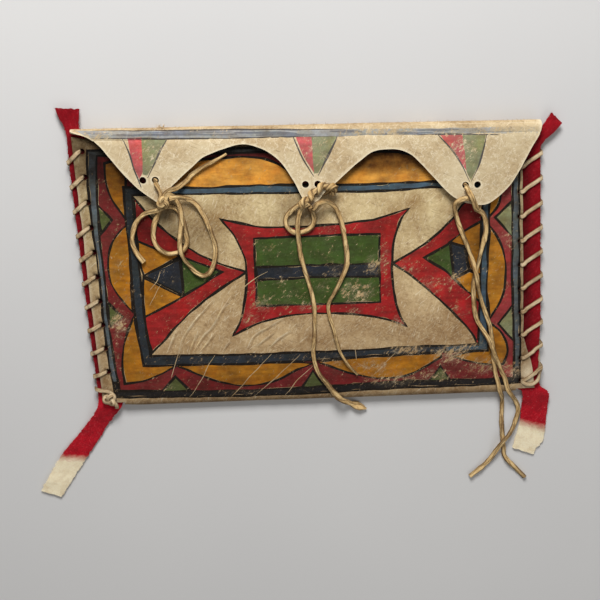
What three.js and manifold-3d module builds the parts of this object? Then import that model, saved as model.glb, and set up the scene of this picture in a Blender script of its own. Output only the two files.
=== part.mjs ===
// A small parfleche: an envelope case folded from one rawhide sheet, with a three-lobed flap,
// red wool strips laced into its two ends, and three buckskin ties.
// Millimetres. The case lies on its back: +X to the right, +Y to the top fold, +Z out of the front.
// The origin is the middle of the back panel's flat underside.
import * as THREE from 'three';
import { mergeVertices } from 'three/addons/utils/BufferGeometryUtils.js';
import Module from 'manifold-3d';

const wasm = await Module();
wasm.setup();

// Rawhide sheet
const RAWHIDE = 1.6;
const CASE_WIDTH = 318.5;
const CASE_HEIGHT = 202;
const LEAN = -0.054; // sideways drift of the two ends for each millimetre up
const BULGE = 6; // how far the front panel swells past its laced edges
const SWELL_POWER = 2.5; // flatness of the swell from end to end
const MOUTH = 13; // from the top of the case down to the front panel's free edge
const MOUTH_SLACK = 0.2; // share of the swell left at the free edge
const TOP_FOLD_HEIGHT = 11.5;
const TOP_FOLD_DEPTH = 4;
const HINGE_GAP = 0.3;

// Laced ends, from the back up: rawhide, cloth, rawhide
const CLEARANCE = 0.3;
const SEAM_LIFT = 2.2; // height of the back panel's underside along the laced ends
const SEAM_RAMP = 14; // width over which the back panel rises to that height
const CLOTH = 1.4;
const CLOTH_WIDTH = 18;
const CLOTH_PROUD = { left: 3.5, right: 0.5 }; // how far the cloth shows past the rawhide
const FLOOR_GAP = 0.05; // under the loose ends of the cloth
// Loose ends of the cloth, as rows of [outer edge across, up, inner edge across, up]
const LEFT_TAB = [[-5, 14, -7, 13], [-3, 7, -8, 7], [0, 1, -8.5, 1]];
const LEFT_TAIL = [
  [-1.5, -1, -3.5, -2.5], [-5, -7, -8.5, -8.5], [-11, -15, -14.5, -16.5], [-16, -21, -19, -23.5],
  [-32.5, -40, -32, -41.5], [-50, -67, -53.5, -72],
];
const RIGHT_TAB = [
  [15.2, -3.2, 25.8, 4.2], [9.6, -9.4, 20.4, -3.6], [3, -15, 15.5, -10.5], [0, -20.2, 8, -17.5],
  [0, -26, 0, -24],
];
const RIGHT_TAIL = [
  [4.5, 0.5, 3.5, 1], [6.5, -4, 5, -4], [6, -13, 4.5, -11.5], [5.5, -19, 4, -17], [4.5, -30, 3.5, -24],
  [1, -55, -2.5, -46.5],
];
// How far each row dips below the cloth's place in the seam, as a share of the way to the floor
const LEFT_TAIL_DIP = [0, 0.42, 0.9, 1, 1, 1];
const RIGHT_TAIL_DIP = [0, 0.25, 0.88, 1, 1, 1];
const LEFT_TAB_DIP = [0.3, 0.08, 0];
const HOLE_INSET = { left: 6, right: 14.25 }; // from the rawhide's end to the lacing holes
const HOLE_COUNT = 11;
const HOLE_DIAMETER = 4;
const FIRST_HOLE_DROP = 15; // from the top of the case
const LAST_HOLE_RISE = 10; // from the bottom of the case
const TRIM_MARGIN = 3.4; // rawhide kept past the right holes on the front panel
const FLARE_WIDTH = 7.9; // how much wider that margin is at the bottom
const FLARE_HEIGHT = 44;
const LACE_WIDTH = 2.7;
const LACE_THICKNESS = 1.3;
const STITCH_SLANT = { left: -6.5, right: 9.5 }; // rise of a stitch from its hole to the edge
const KNOT_RADIUS = 3;

// Flap: points along its hand-cut edge, by their place across the case and depth below its top
const LOBE_GAP = 5; // air between the lobes and the front panel
const LOBE_REACH = 52; // depth of flap over which it lifts to that gap
const LIFT_POWER = 0.6; // how early it lifts
const FLAP_LEAD = 4; // level strip beside the fold
const FLAP_EDGE = {
  left: [ // [in from the left end, down]
    [16, 8.3], [32.5, 29.7], [42.3, 40.8], [51, 47.3], [55.2, 49.4], [60, 42.6], [74.5, 29.5], [89, 18.6],
  ],
  middle: [ // [across from the middle, down]
    [-47.6, 11.6], [-33.3, 14.6], [-21.5, 22.9], [-12.4, 37.4], [-7, 49.1], [-1.6, 53.8], [3.4, 50.2],
    [9, 43.5], [17.2, 37.2], [30.8, 26.3], [44.3, 17.8],
  ],
  right: [ // [in from the right end, down]
    [95.7, 18.3], [82.7, 29], [70, 43.7], [60.9, 52], [50.5, 55.8], [40.8, 56.6], [33, 52.9], [22, 42.7],
    [14, 30], [7.2, 18.5], [1.4, 9.4],
  ],
};
const TIE_HOLE_DIAMETER = 4.8;
const TIE_HOLE_SPACING = 8.4;
const TIE_HOLES = { left: [49.4, 34.2], middle: [-0.6, 39.2], right: [50, 42.8] }; // as the flap's edge

// Ties
const THONG_DIAMETER = 3.2;
const THONG_SIDES = 8;

// Worked out from the sizes above
const TOP = CASE_HEIGHT / 2;
const BOTTOM = -CASE_HEIGHT / 2;
const LEFT = -CASE_WIDTH / 2;
const RIGHT = CASE_WIDTH / 2;
const FOLD_Y = TOP - TOP_FOLD_DEPTH;
const FRONT_EDGE_Y = TOP - MOUTH;
const BACK_TOP_AT_SEAM = SEAM_LIFT + RAWHIDE;
const CLOTH_BOTTOM = BACK_TOP_AT_SEAM + CLEARANCE;
const CLOTH_TOP = CLOTH_BOTTOM + CLOTH;
const CLOTH_MIDDLE = (CLOTH_BOTTOM + CLOTH_TOP) / 2;
const SEAM_TOP = CLOTH_TOP + CLEARANCE + RAWHIDE;
const BOTTOM_FOLD_Y = BOTTOM + SEAM_TOP / 2;
const CLOTH_OUTER = { left: LEFT - CLOTH_PROUD.left, right: RIGHT + CLOTH_PROUD.right };
const CLOTH_INNER = { left: CLOTH_OUTER.left + CLOTH_WIDTH, right: CLOTH_OUTER.right - CLOTH_WIDTH };
const HOLE_X = { left: LEFT + HOLE_INSET.left, right: RIGHT - HOLE_INSET.right };
const HOLE_ROWS = evenly(TOP - FIRST_HOLE_DROP, BOTTOM + LAST_HOLE_RISE, HOLE_COUNT);
const SEAM_START = CLOTH_INNER.left + CLEARANCE;
const SEAM_END = CLOTH_INNER.right - CLEARANCE;
const leanMatrix = new THREE.Matrix4().makeShear(0, 0, LEAN, 0, 0, 0);

const rawhide = new THREE.MeshStandardMaterial({ color: 0xc9b083, roughness: 0.7, metalness: 0 });
const redWool = new THREE.MeshStandardMaterial({ color: 0xa81524, roughness: 0.95, metalness: 0 });
const laceHide = new THREE.MeshStandardMaterial({ color: 0xcdb58c, roughness: 0.8, metalness: 0 });
const buckskin = new THREE.MeshStandardMaterial({ color: 0xb99154, roughness: 0.85, metalness: 0 });

function evenly(first, last, count) {
  return Array.from({ length: count }, (_, i) => first + ((last - first) * i) / (count - 1));
}

function toSolid(geometry) {
  const bare = new THREE.BufferGeometry();
  bare.setAttribute('position', geometry.getAttribute('position').clone());
  if (geometry.index) bare.setIndex(geometry.index.clone());
  const merged = mergeVertices(bare, 1e-3);
  const vertProperties = new Float32Array(merged.getAttribute('position').array);
  const triVerts = new Uint32Array(merged.index.array);
  return new wasm.Manifold(new wasm.Mesh({ numProp: 3, vertProperties, triVerts }));
}

function toGeometry(solid) {
  const { vertProperties, triVerts } = solid.getMesh();
  const geometry = new THREE.BufferGeometry();
  geometry.setAttribute('position', new THREE.BufferAttribute(vertProperties.slice(), 3));
  geometry.setIndex(new THREE.BufferAttribute(triVerts.slice(), 1));
  return geometry;
}

// A block between two corners
function block(low, high) {
  const size = high.map((value, axis) => value - low[axis]);
  const middle = high.map((value, axis) => (value + low[axis]) / 2);
  return toSolid(new THREE.BoxGeometry(...size).translate(...middle));
}

// A column along Z through the whole case
function column(x, y, diameter, sides = 10) {
  const height = 3 * TOP_FOLD_HEIGHT + BULGE;
  const pin = new THREE.CylinderGeometry(diameter / 2, diameter / 2, height, sides);
  return toSolid(pin.rotateX(Math.PI / 2).translate(x, y, height / 3));
}

// A closed sheet of even thickness about the surface middle(u, v)
function sheet(columns, rows, middle, thickness) {
  const step = 1e-3;
  const across = columns.length;
  const layer = across * rows.length;
  const points = [];
  for (const side of [0.5, -0.5]) {
    for (const v of rows) {
      for (const u of columns) {
        const along = middle(u + step, v).sub(middle(u - step, v));
        const down = middle(u, v + step).sub(middle(u, v - step));
        const normal = down.cross(along).normalize();
        points.push(middle(u, v).addScaledVector(normal, side * thickness));
      }
    }
  }
  const index = [];
  const quad = (a, b, c, d) => index.push(a, b, c, a, c, d);
  for (let r = 0; r + 1 < rows.length; r += 1) {
    for (let c = 0; c + 1 < across; c += 1) {
      const a = r * across + c;
      quad(a, a + across, a + across + 1, a + 1);
      quad(a + layer, a + layer + 1, a + layer + across + 1, a + layer + across);
    }
    const left = r * across;
    const right = left + across - 1;
    quad(left, left + layer, left + layer + across, left + across);
    quad(right, right + across, right + layer + across, right + layer);
  }
  for (let c = 0; c + 1 < across; c += 1) {
    const end = layer - across + c;
    quad(c, c + 1, c + layer + 1, c + layer);
    quad(end, end + layer, end + layer + 1, end + 1);
  }
  const geometry = new THREE.BufferGeometry().setFromPoints(points);
  geometry.setIndex(index);
  return geometry;
}

// Height of the back panel's underside
function backUnder(x) {
  const left = 1 - THREE.MathUtils.smoothstep(x, SEAM_START, SEAM_START + SEAM_RAMP);
  const right = THREE.MathUtils.smoothstep(x, SEAM_END - SEAM_RAMP, SEAM_END);
  return SEAM_LIFT * Math.max(left, right);
}

// Height of the front panel's painted face
function frontTop(x, y) {
  const t = THREE.MathUtils.clamp((x - SEAM_START) / (SEAM_END - SEAM_START), 0, 1);
  const swellX = 1 - Math.abs(2 * t - 1) ** SWELL_POWER;
  const swellY = y < 0
    ? 1 - (y / BOTTOM_FOLD_Y) ** 2
    : 1 - (1 - MOUTH_SLACK) * (y / FRONT_EDGE_Y) ** 2;
  return SEAM_TOP + BULGE * swellX * Math.max(swellY, 0);
}

// Height of the flap's outer face
function flapTop(x, y) {
  const reach = Math.max((FOLD_Y - y - FLAP_LEAD) / (LOBE_REACH - FLAP_LEAD), 0);
  const lobeTop = frontTop(x, FOLD_Y - LOBE_REACH) + LOBE_GAP + RAWHIDE;
  return TOP_FOLD_HEIGHT + (lobeTop - TOP_FOLD_HEIGHT) * reach ** LIFT_POWER;
}

function hideColumns() {
  const ramp = evenly(0, SEAM_RAMP, 4);
  const first = ramp.map((d) => SEAM_START + d);
  const last = ramp.map((d) => SEAM_END - SEAM_RAMP + d);
  const between = evenly(first[3], last[0], 12).slice(1, -1);
  return [LEFT, ...first, ...between, ...last, RIGHT];
}

// Middle of the hide: s runs 0 to 1 down the front, to 2 round the bottom fold, to 3 up the back
// and to 4 round the top fold
function hideMiddle(x, s) {
  const back = backUnder(x) + RAWHIDE / 2;
  if (s <= 1) {
    const y = THREE.MathUtils.lerp(FRONT_EDGE_Y, BOTTOM_FOLD_Y, s);
    return new THREE.Vector3(x, y, frontTop(x, y) - RAWHIDE / 2);
  }
  if (s <= 2) {
    const front = frontTop(x, BOTTOM_FOLD_Y) - RAWHIDE / 2;
    const radius = (front - back) / 2;
    const turn = (s - 1) * Math.PI;
    const z = (front + back) / 2 + radius * Math.cos(turn);
    return new THREE.Vector3(x, BOTTOM_FOLD_Y - radius * Math.sin(turn), z);
  }
  if (s <= 3) {
    return new THREE.Vector3(x, THREE.MathUtils.lerp(BOTTOM_FOLD_Y, FOLD_Y, s - 2), back);
  }
  const top = TOP_FOLD_HEIGHT - RAWHIDE / 2;
  const turn = (s - 3) * Math.PI;
  const y = FOLD_Y + (TOP_FOLD_DEPTH - RAWHIDE / 2) * Math.sin(turn);
  return new THREE.Vector3(x, y, (top + back) / 2 - ((top - back) / 2) * Math.cos(turn));
}

function lacingHoles(side) {
  return HOLE_ROWS.map((y) => column(HOLE_X[side], y, HOLE_DIAMETER));
}

// The strip cut off the front panel outside the right holes
function frontTrim() {
  const edge = HOLE_X.right + TRIM_MARGIN;
  const past = CLOTH_OUTER.right + CLOTH_WIDTH;
  const outline = new THREE.Shape();
  outline.moveTo(edge, TOP);
  outline.lineTo(edge, BOTTOM + FLARE_HEIGHT);
  outline.quadraticCurveTo(edge + FLARE_WIDTH, BOTTOM + FLARE_HEIGHT / 2, edge + FLARE_WIDTH, BOTTOM);
  outline.lineTo(past, BOTTOM);
  outline.lineTo(past, TOP);
  outline.closePath();
  const depth = SEAM_TOP;
  const prism = new THREE.ExtrudeGeometry(outline, { depth, bevelEnabled: false, curveSegments: 8 });
  return toSolid(prism.translate(0, 0, CLOTH_TOP + CLEARANCE / 2))
    .subtract(block([edge - CLOTH_WIDTH, FRONT_EDGE_Y + CLEARANCE, 0], [past + 1, TOP + 1, depth * 3]));
}

// Corners of the bottom fold and a slit in the top fold let the cloth strips out
function clothWays() {
  const inside = CLEARANCE * 3;
  const past = CLOTH_WIDTH;
  const under = BOTTOM_FOLD_Y + CLEARANCE / 3;
  return [
    block([LEFT - past, BOTTOM - past, -1], [CLOTH_INNER.left + inside, under, SEAM_TOP + 1]),
    block([CLOTH_INNER.right - inside, BOTTOM - past, -1], [RIGHT + past, under, SEAM_TOP + 1]),
    block(
      [LEFT - past, FOLD_Y, CLOTH_BOTTOM - CLEARANCE],
      [CLOTH_INNER.left + inside, TOP + past, CLOTH_TOP + CLEARANCE],
    ),
  ];
}

function caseBody() {
  const rows = [
    ...evenly(0, 1, 10),
    ...evenly(1, 2, 7).slice(1),
    ...evenly(2, 3, 3).slice(1),
    ...evenly(3, 4, 9).slice(1),
  ];
  let solid = toSolid(sheet(hideColumns(), rows, hideMiddle, RAWHIDE));
  const cuts = [...lacingHoles('left'), ...lacingHoles('right'), ...clothWays(), frontTrim()];
  for (const cut of cuts) solid = solid.subtract(cut);
  return toGeometry(solid).applyMatrix4(leanMatrix);
}

// A place on the flap, counted from the left end, the middle or the right end
function onFlap(part, [across, drop]) {
  const x = { left: LEFT + across, middle: across, right: RIGHT - across }[part];
  return new THREE.Vector2(x, TOP - drop);
}

// Edge of the flap from its left end, round the three lobes, to its right end
function flapEdge() {
  return [
    new THREE.Vector2(LEFT, FOLD_Y),
    ...Object.keys(FLAP_EDGE).flatMap((part) => FLAP_EDGE[part].map((point) => onFlap(part, point))),
    new THREE.Vector2(RIGHT, FOLD_Y),
  ];
}

function flap() {
  const edge = flapEdge();
  const lowest = TOP - Math.min(...edge.map((point) => point.y));
  const rows = evenly(TOP_FOLD_DEPTH + HINGE_GAP, lowest + RAWHIDE, 8);
  const middle = (x, drop) => new THREE.Vector3(x, TOP - drop, flapTop(x, TOP - drop) - RAWHIDE / 2);
  const outline = new THREE.Shape();
  outline.moveTo(edge[0].x, edge[0].y);
  outline.splineThru(edge.slice(1));
  outline.closePath();
  const depth = TOP_FOLD_HEIGHT + BULGE + LOBE_GAP + SEAM_TOP;
  const prism = new THREE.ExtrudeGeometry(outline, { depth, bevelEnabled: false, curveSegments: 3 });
  const hideSheet = sheet(evenly(LEFT - RAWHIDE, RIGHT + RAWHIDE, 25), rows, middle, RAWHIDE);
  let solid = toSolid(hideSheet).intersect(toSolid(prism));
  for (const part of Object.keys(TIE_HOLES)) {
    const { x, y } = onFlap(part, TIE_HOLES[part]);
    for (const offset of [-TIE_HOLE_SPACING / 2, TIE_HOLE_SPACING / 2]) {
      solid = solid.subtract(column(x + offset, y, TIE_HOLE_DIAMETER, 12));
    }
  }
  return toGeometry(solid).applyMatrix4(leanMatrix);
}

// A strip of cloth between two edges, given as rows of [outer x, outer y, inner x, inner y, height]
function clothStrip(side, edgeRows) {
  const at = (v, k) => {
    const r = Math.min(Math.max(Math.floor(v), 0), edgeRows.length - 2);
    return THREE.MathUtils.lerp(edgeRows[r][k], edgeRows[r + 1][k], v - r);
  };
  const middle = (u, v) => new THREE.Vector3(
    THREE.MathUtils.lerp(at(v, 0), at(v, 2), u),
    THREE.MathUtils.lerp(at(v, 1), at(v, 3), u),
    at(v, 4),
  );
  let solid = toSolid(sheet([0, 0.5, 1], edgeRows.map((_, i) => i), middle, CLOTH));
  for (const hole of lacingHoles(side)) solid = solid.subtract(hole);
  return toGeometry(solid).applyMatrix4(leanMatrix);
}

// Rows of one loose end, from the end of the case at `along`, dipping towards the floor
function looseEnd(side, along, rows, dips) {
  const floor = CLOTH / 2 + FLOOR_GAP;
  return rows.map(([outerX, outerY, innerX, innerY], i) => [
    CLOTH_OUTER[side] + outerX,
    along + outerY,
    CLOTH_INNER[side] + innerX,
    along + innerY,
    THREE.MathUtils.lerp(CLOTH_MIDDLE, floor, dips[i] ?? 0),
  ]);
}

// The straight part of a strip inside its seam
function seamRows(side, rows) {
  return rows.map((y) => [CLOTH_OUTER[side], y, CLOTH_INNER[side], y, CLOTH_MIDDLE]);
}

function leftCloth() {
  return clothStrip('left', [
    ...looseEnd('left', TOP, LEFT_TAB, LEFT_TAB_DIP),
    ...seamRows('left', [FOLD_Y - CLOTH_WIDTH, BOTTOM_FOLD_Y]),
    ...looseEnd('left', BOTTOM, LEFT_TAIL, LEFT_TAIL_DIP),
  ]);
}

function rightCloth() {
  return clothStrip('right', [
    ...looseEnd('right', TOP, RIGHT_TAB, []),
    ...seamRows('right', [BOTTOM_FOLD_Y]),
    ...looseEnd('right', BOTTOM, RIGHT_TAIL, RIGHT_TAIL_DIP),
  ]);
}

// One whip stitch as points across the laced end: [distance out from the hole, height, facing in degrees]
function stitchProfile(hideEdge, backEdge, clothEdge) {
  const rise = CLEARANCE + LACE_THICKNESS / 2;
  const front = SEAM_TOP + rise;
  const cloth = CLOTH_TOP + rise + CLEARANCE / 2;
  const back = SEAM_LIFT - rise;
  const bend = HOLE_DIAMETER / 2 - LACE_THICKNESS / 2;
  const over = hideEdge + rise;
  const round = Math.max(clothEdge, backEdge) + rise + CLEARANCE / 2;
  const dropEnd = Math.min(over + SEAM_TOP - CLOTH_TOP, round - LACE_THICKNESS / 2);
  return {
    front: [
      [0, SEAM_TOP, 180],
      [bend * 0.5, SEAM_TOP + rise * 0.8, 135],
      [bend * 1.3, front, 90],
      [over, front, 90],
      [dropEnd, cloth + CLEARANCE, 80],
      [round - CLEARANCE, cloth, 80],
      [round, CLOTH_TOP, 15],
    ],
    back: [
      [round, CLOTH_BOTTOM, -10],
      [Math.max(backEdge, clothEdge - LACE_THICKNESS / 2) + rise * 1.4, (CLOTH_BOTTOM + back) / 2, -40],
      [backEdge + rise * 0.7, back - CLEARANCE / 2, -80],
      [bend * 1.3, back, -90],
      [bend * 0.5, SEAM_LIFT - rise * 0.8, -135],
      [0, SEAM_LIFT, -180],
    ],
  };
}

// A flat strap through a list of { at, facing }
function strap(stations) {
  const points = [];
  stations.forEach(({ at, facing }, i) => {
    const before = stations[Math.max(i - 1, 0)].at;
    const after = stations[Math.min(i + 1, stations.length - 1)].at;
    const along = after.clone().sub(before).normalize();
    const across = along.clone().cross(facing).normalize();
    const normal = across.clone().cross(along).normalize();
    for (const [w, t] of [[0.5, 0.5], [0.5, -0.5], [-0.5, -0.5], [-0.5, 0.5]]) {
      points.push(at.clone()
        .addScaledVector(across, w * LACE_WIDTH)
        .addScaledVector(normal, t * LACE_THICKNESS));
    }
  });
  const index = [2, 1, 0, 3, 2, 0];
  for (let ring = 0; ring + 1 < stations.length; ring += 1) {
    for (let k = 0; k < 4; k += 1) {
      const a = ring * 4 + k;
      const b = ring * 4 + ((k + 1) % 4);
      index.push(a, b, b + 4, a, b + 4, a + 4);
    }
  }
  const last = (stations.length - 1) * 4;
  index.push(last, last + 1, last + 2, last, last + 2, last + 3);
  const geometry = new THREE.BufferGeometry().setFromPoints(points);
  geometry.setIndex(index);
  return toSolid(geometry);
}

// How far the front panel reaches past the holes of one end
function hideReach(side, y) {
  if (side === 'left') return HOLE_INSET.left;
  const down = THREE.MathUtils.clamp((BOTTOM + FLARE_HEIGHT - y) / FLARE_HEIGHT, 0, 1);
  return TRIM_MARGIN + FLARE_WIDTH * Math.min(1, 2 * down);
}

// Stations of the lacing from hole to hole along one end
function lacingStations(side) {
  const outward = side === 'left' ? -1 : 1;
  const holes = side === 'left' ? HOLE_ROWS : [...HOLE_ROWS].reverse();
  const clothEdge = (CLOTH_OUTER[side] - HOLE_X[side]) * outward;
  const backEdge = HOLE_INSET[side];
  const stations = [];
  const place = (out, y, z, degrees) => {
    const angle = THREE.MathUtils.degToRad(degrees);
    const facing = new THREE.Vector3(outward * Math.cos(angle), 0, Math.sin(angle));
    stations.push({ at: new THREE.Vector3(HOLE_X[side] + outward * out, y, z), facing });
  };
  const lead = stitchProfile(HOLE_INSET[side], backEdge, clothEdge).back.slice(-4);
  lead.forEach(([out, z, angle]) => place(out, holes[0], z, angle));
  holes.slice(0, -1).forEach((y, i) => {
    const edgeY = y + STITCH_SLANT[side];
    const stitch = stitchProfile(hideReach(side, y), backEdge, clothEdge);
    const reach = stitch.back[0][0];
    const slanted = (holeY, out) => {
      const share = (out - HOLE_DIAMETER / 2) / (reach - HOLE_DIAMETER / 2);
      return THREE.MathUtils.lerp(holeY, edgeY, Math.max(share, 0));
    };
    for (const [out, z, angle] of stitch.front) place(out, slanted(y, out), z, angle);
    for (const [out, z, angle] of stitch.back) place(out, slanted(holes[i + 1], out), z, angle);
  });
  const end = stitchProfile(hideReach(side, holes[HOLE_COUNT - 1]), backEdge, clothEdge);
  const tail = end.front.slice(0, 3);
  tail.forEach(([out, z, angle]) => place(out, holes[HOLE_COUNT - 1], z, angle));
  return stations;
}

function leftLacing() {
  const stations = lacingStations('left');
  const end = stations[stations.length - 1].at;
  const knot = new THREE.SphereGeometry(KNOT_RADIUS, 12, 8).scale(1, 1.3, 0.8);
  knot.translate(end.x, end.y, SEAM_TOP + CLEARANCE + KNOT_RADIUS * 0.8);
  return toGeometry(strap(stations).add(toSolid(knot))).applyMatrix4(leanMatrix);
}

function rightLacing() {
  return toGeometry(strap(lacingStations('right'))).applyMatrix4(leanMatrix);
}

// A thong's route, stepped from one chosen point to the next
class Route extends THREE.CatmullRomCurve3 {
  getUtoTmapping(u) {
    return u;
  }
}

function thong(points) {
  const route = new Route(points.map((point) => new THREE.Vector3(...point)));
  const section = new THREE.Shape();
  section.absarc(0, 0, THONG_DIAMETER / 2, 0, 2 * Math.PI);
  return toSolid(new THREE.ExtrudeGeometry(section, {
    steps: points.length - 1,
    curveSegments: THONG_SIDES / 2,
    extrudePath: route,
  }));
}

function tie(strands) {
  const [first, ...rest] = strands.map(thong);
  return toGeometry(rest.reduce((solid, strand) => solid.add(strand), first));
}

// Left tie: up through the lobe's hole and round its tip, a small loop and a short tail
const LEFT_LOOP = [
  [-110.9, 61, 11.3], [-109.5, 66.2, 12], [-109.3, 66.8, 14.4], [-109.2, 66.3, 16.8],
  [-108.6, 64.4, 17.9], [-107.3, 61.4, 17.5], [-105.9, 57.4, 18.2], [-106.6, 53.6, 18.9],
  [-106.8, 49.6, 18.2], [-107.1, 47.6, 15.4], [-107.6, 45.4, 12.9], [-109.2, 40.9, 12],
  [-111.2, 36.4, 12], [-112.4, 30.8, 12], [-112.4, 25.1, 12.1], [-110.6, 20.3, 12.2],
  [-107.3, 16.8, 12.5], [-102.4, 14.5, 12.8], [-97.2, 15, 13.1], [-92.6, 16.6, 13.3],
  [-89.8, 21.6, 13.4], [-89.9, 27.9, 13.3], [-90.8, 34, 13.1], [-92.7, 41, 12.8],
  [-95.9, 46, 12.5], [-100.6, 48, 13], [-104.9, 47.5, 14.6], [-108.7, 45.9, 14.9],
  [-112.9, 44.7, 12.7], [-116.7, 43.3, 11.5], [-120.5, 40.5, 11.3], [-124, 36.2, 11.2],
  [-126, 30.9, 11.1], [-127.1, 25.2, 11], [-126.5, 19.9, 11.1], [-124, 14.2, 11.3],
  [-119.7, 8.7, 11.6],
];
// Left tie: out from under the lobe, round its tip and through the large loop
const LEFT_BOW = [
  [-113.2, 61.4, 11.2], [-109.4, 55.9, 11.5], [-105.2, 50.4, 12], [-103.6, 48.3, 14],
  [-102.7, 48.6, 17], [-102.6, 51.2, 18.9], [-103, 55, 19.1], [-101, 57.8, 19.2],
  [-98.1, 56, 17.4], [-95.3, 52.6, 16.7], [-93.5, 47.5, 16.3], [-93, 40.6, 16.4],
  [-93.6, 31.8, 16.4], [-94.5, 23.1, 16.5], [-94.3, 17, 16.6], [-92.1, 10.7, 14.8],
  [-87.9, 4.8, 13.6], [-82.9, -0.1, 13.9], [-79, -1.7, 14], [-74.9, 0.5, 14.2],
  [-71.9, 6.3, 14.3], [-70.5, 12.8, 14.3], [-70.6, 20.6, 14.2], [-72.4, 27.6, 14],
  [-75, 34.6, 13.7], [-78.1, 42.2, 13.3], [-81.9, 48.2, 13.3], [-86.2, 52.2, 14],
  [-91.2, 54.5, 15.3], [-95.8, 55.2, 17.1], [-100.6, 54.8, 19.6],
];
// Left tie: the end that lies along the lobe's right edge
const LEFT_END = [
  [-104.5, 54.5, 19.1], [-102.8, 58.5, 18.5], [-100.6, 60.3, 18.2], [-96.2, 61.2, 16.6],
  [-92.4, 62.6, 13.6], [-87.6, 66, 11.9], [-85.6, 68.7, 11.7], [-79.9, 72.8, 11.5],
  [-74.3, 75.8, 11.4], [-69.5, 78.2, 11.3], [-64.7, 80.7, 11.1], [-61, 83, 10.9],
];
// Middle tie: round the lobe's right edge, across its face and into a small ring
const MIDDLE_RING = [
  [0.6, 54.2, 13.5], [6.1, 55.1, 13.5], [7.8, 56.4, 14.2], [11.4, 56.6, 16.2], [11.2, 59, 19.4],
  [7.3, 61, 19.4], [3, 60.4, 19.2], [-1.4, 58, 19.4], [-4.7, 54.7, 20.1], [-7.3, 51.8, 20.9],
  [-11.2, 49.4, 19.4], [-14.3, 46.5, 16.4], [-18.7, 42.5, 14.6], [-21.4, 38.6, 14.4],
  [-21.7, 34.1, 14.6], [-19.8, 30.4, 14.8], [-16.5, 28, 14.8], [-13.4, 27.4, 14.9],
  [-10, 28, 14.9], [-5.9, 29.8, 14.8], [-3.1, 33, 14.7], [-2.3, 36.9, 14.5], [-3, 40.2, 14.7],
  [-3.9, 43, 16], [-5, 44.6, 18.4], [-5.6, 47.2, 20.8],
];
// Middle tie: the long left tail, over the bottom fold to the floor
const MIDDLE_LEFT_TAIL = [
  [-6.6, 49.8, 21.7], [-9.2, 47.5, 19.2], [-11.6, 44.1, 17.7], [-13, 40.5, 17.7],
  [-13.8, 36, 17.9], [-13.8, 31.1, 18.1], [-13.4, 26.4, 18.1], [-12.7, 19.3, 16.1],
  [-11.9, 12.2, 15.3], [-9.5, 2.5, 15.3], [-6.3, -8.4, 15.3], [-3.7, -19.3, 15.1],
  [-2.4, -28.3, 14.8], [-2.2, -38.9, 14.4], [-2.3, -49.6, 13.8], [-3, -59.7, 13.1],
  [-2.2, -69.5, 12.3], [1.2, -78.9, 11.4], [6.6, -86.7, 10.8], [14.2, -97.3, 9.6],
  [18.6, -101.7, 8], [22.4, -104.4, 5], [26.8, -107.2, 2.6], [31.4, -109.4, 2], [36.8, -111.5, 2],
];
// Middle tie: out from under the lobe, round its tip and down the front
const MIDDLE_RIGHT_TAIL = [
  [-2.1, 56.3, 13.4], [-2.6, 51.5, 13.7], [-3.4, 46.8, 14], [-3, 44.6, 15.4], [-2.6, 44.4, 18.2],
  [-2.2, 46.4, 20.6], [-0.4, 49.4, 21.4], [4.2, 50.4, 20], [8, 49.1, 18], [11.9, 45.4, 15.9],
  [14.6, 40.3, 14.5], [16.2, 35.4, 14.5], [17.5, 30, 14.7], [18.7, 23.6, 15], [19.8, 16.6, 15.1],
  [20.4, 9.7, 15.2], [20.1, 2.7, 15.3], [16.5, -6.8, 15.3], [11.4, -17.5, 15.1],
  [7.5, -25.2, 14.9], [8.3, -33.6, 14.6], [11.1, -43.7, 14.1], [13.8, -54.3, 13.5],
  [16.4, -62.8, 12.8], [21.6, -72, 12], [28.9, -80.4, 11.2],
];
// Right tie: up through the lobe's left hole, over its tip and down to the floor
const RIGHT_HOLE_TAIL = [
  [101.9, 58.3, 11], [101.9, 58.3, 14.2], [101.9, 58, 17], [102.4, 56.6, 18.9],
  [103.4, 54.6, 19.7], [105.2, 51.5, 21.4], [106.7, 47.9, 20.6], [108.4, 43.2, 18.6],
  [110, 41, 15.6], [112.6, 39.4, 13.2], [115.5, 36.9, 11.6], [117.3, 33.5, 11.2],
  [118.1, 29.1, 11.2], [118.2, 23.1, 11.3], [117.1, 16.9, 11.4], [115.3, 9.4, 11.7],
  [113.7, 1.8, 11.8], [112.2, -4.7, 12], [111, -11, 12.1], [110.6, -17.3, 12.1],
  [111.4, -25.5, 11.9], [112.4, -34.7, 11.7], [114.8, -42.4, 11.4], [118.9, -49.2, 11.9],
  [122.4, -55.1, 13.1], [125.8, -62.5, 13.9], [129.9, -72.5, 12.6], [134.2, -82.3, 10.3],
  [137.3, -89, 9.5], [139.8, -97.3, 9.6], [142.6, -101.9, 8], [145, -105.4, 5],
  [147.4, -109.2, 2.6], [149.2, -113, 2], [149.9, -117.9, 2], [148.7, -123.8, 2],
  [146.6, -130.3, 2.6], [143.2, -136.1, 4.2], [138.7, -140.9, 5.5], [135, -147.4, 3.8],
  [130.5, -156, 2], [125.4, -161.5, 2], [120.2, -166, 2], [115.5, -169.8, 2],
];
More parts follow.
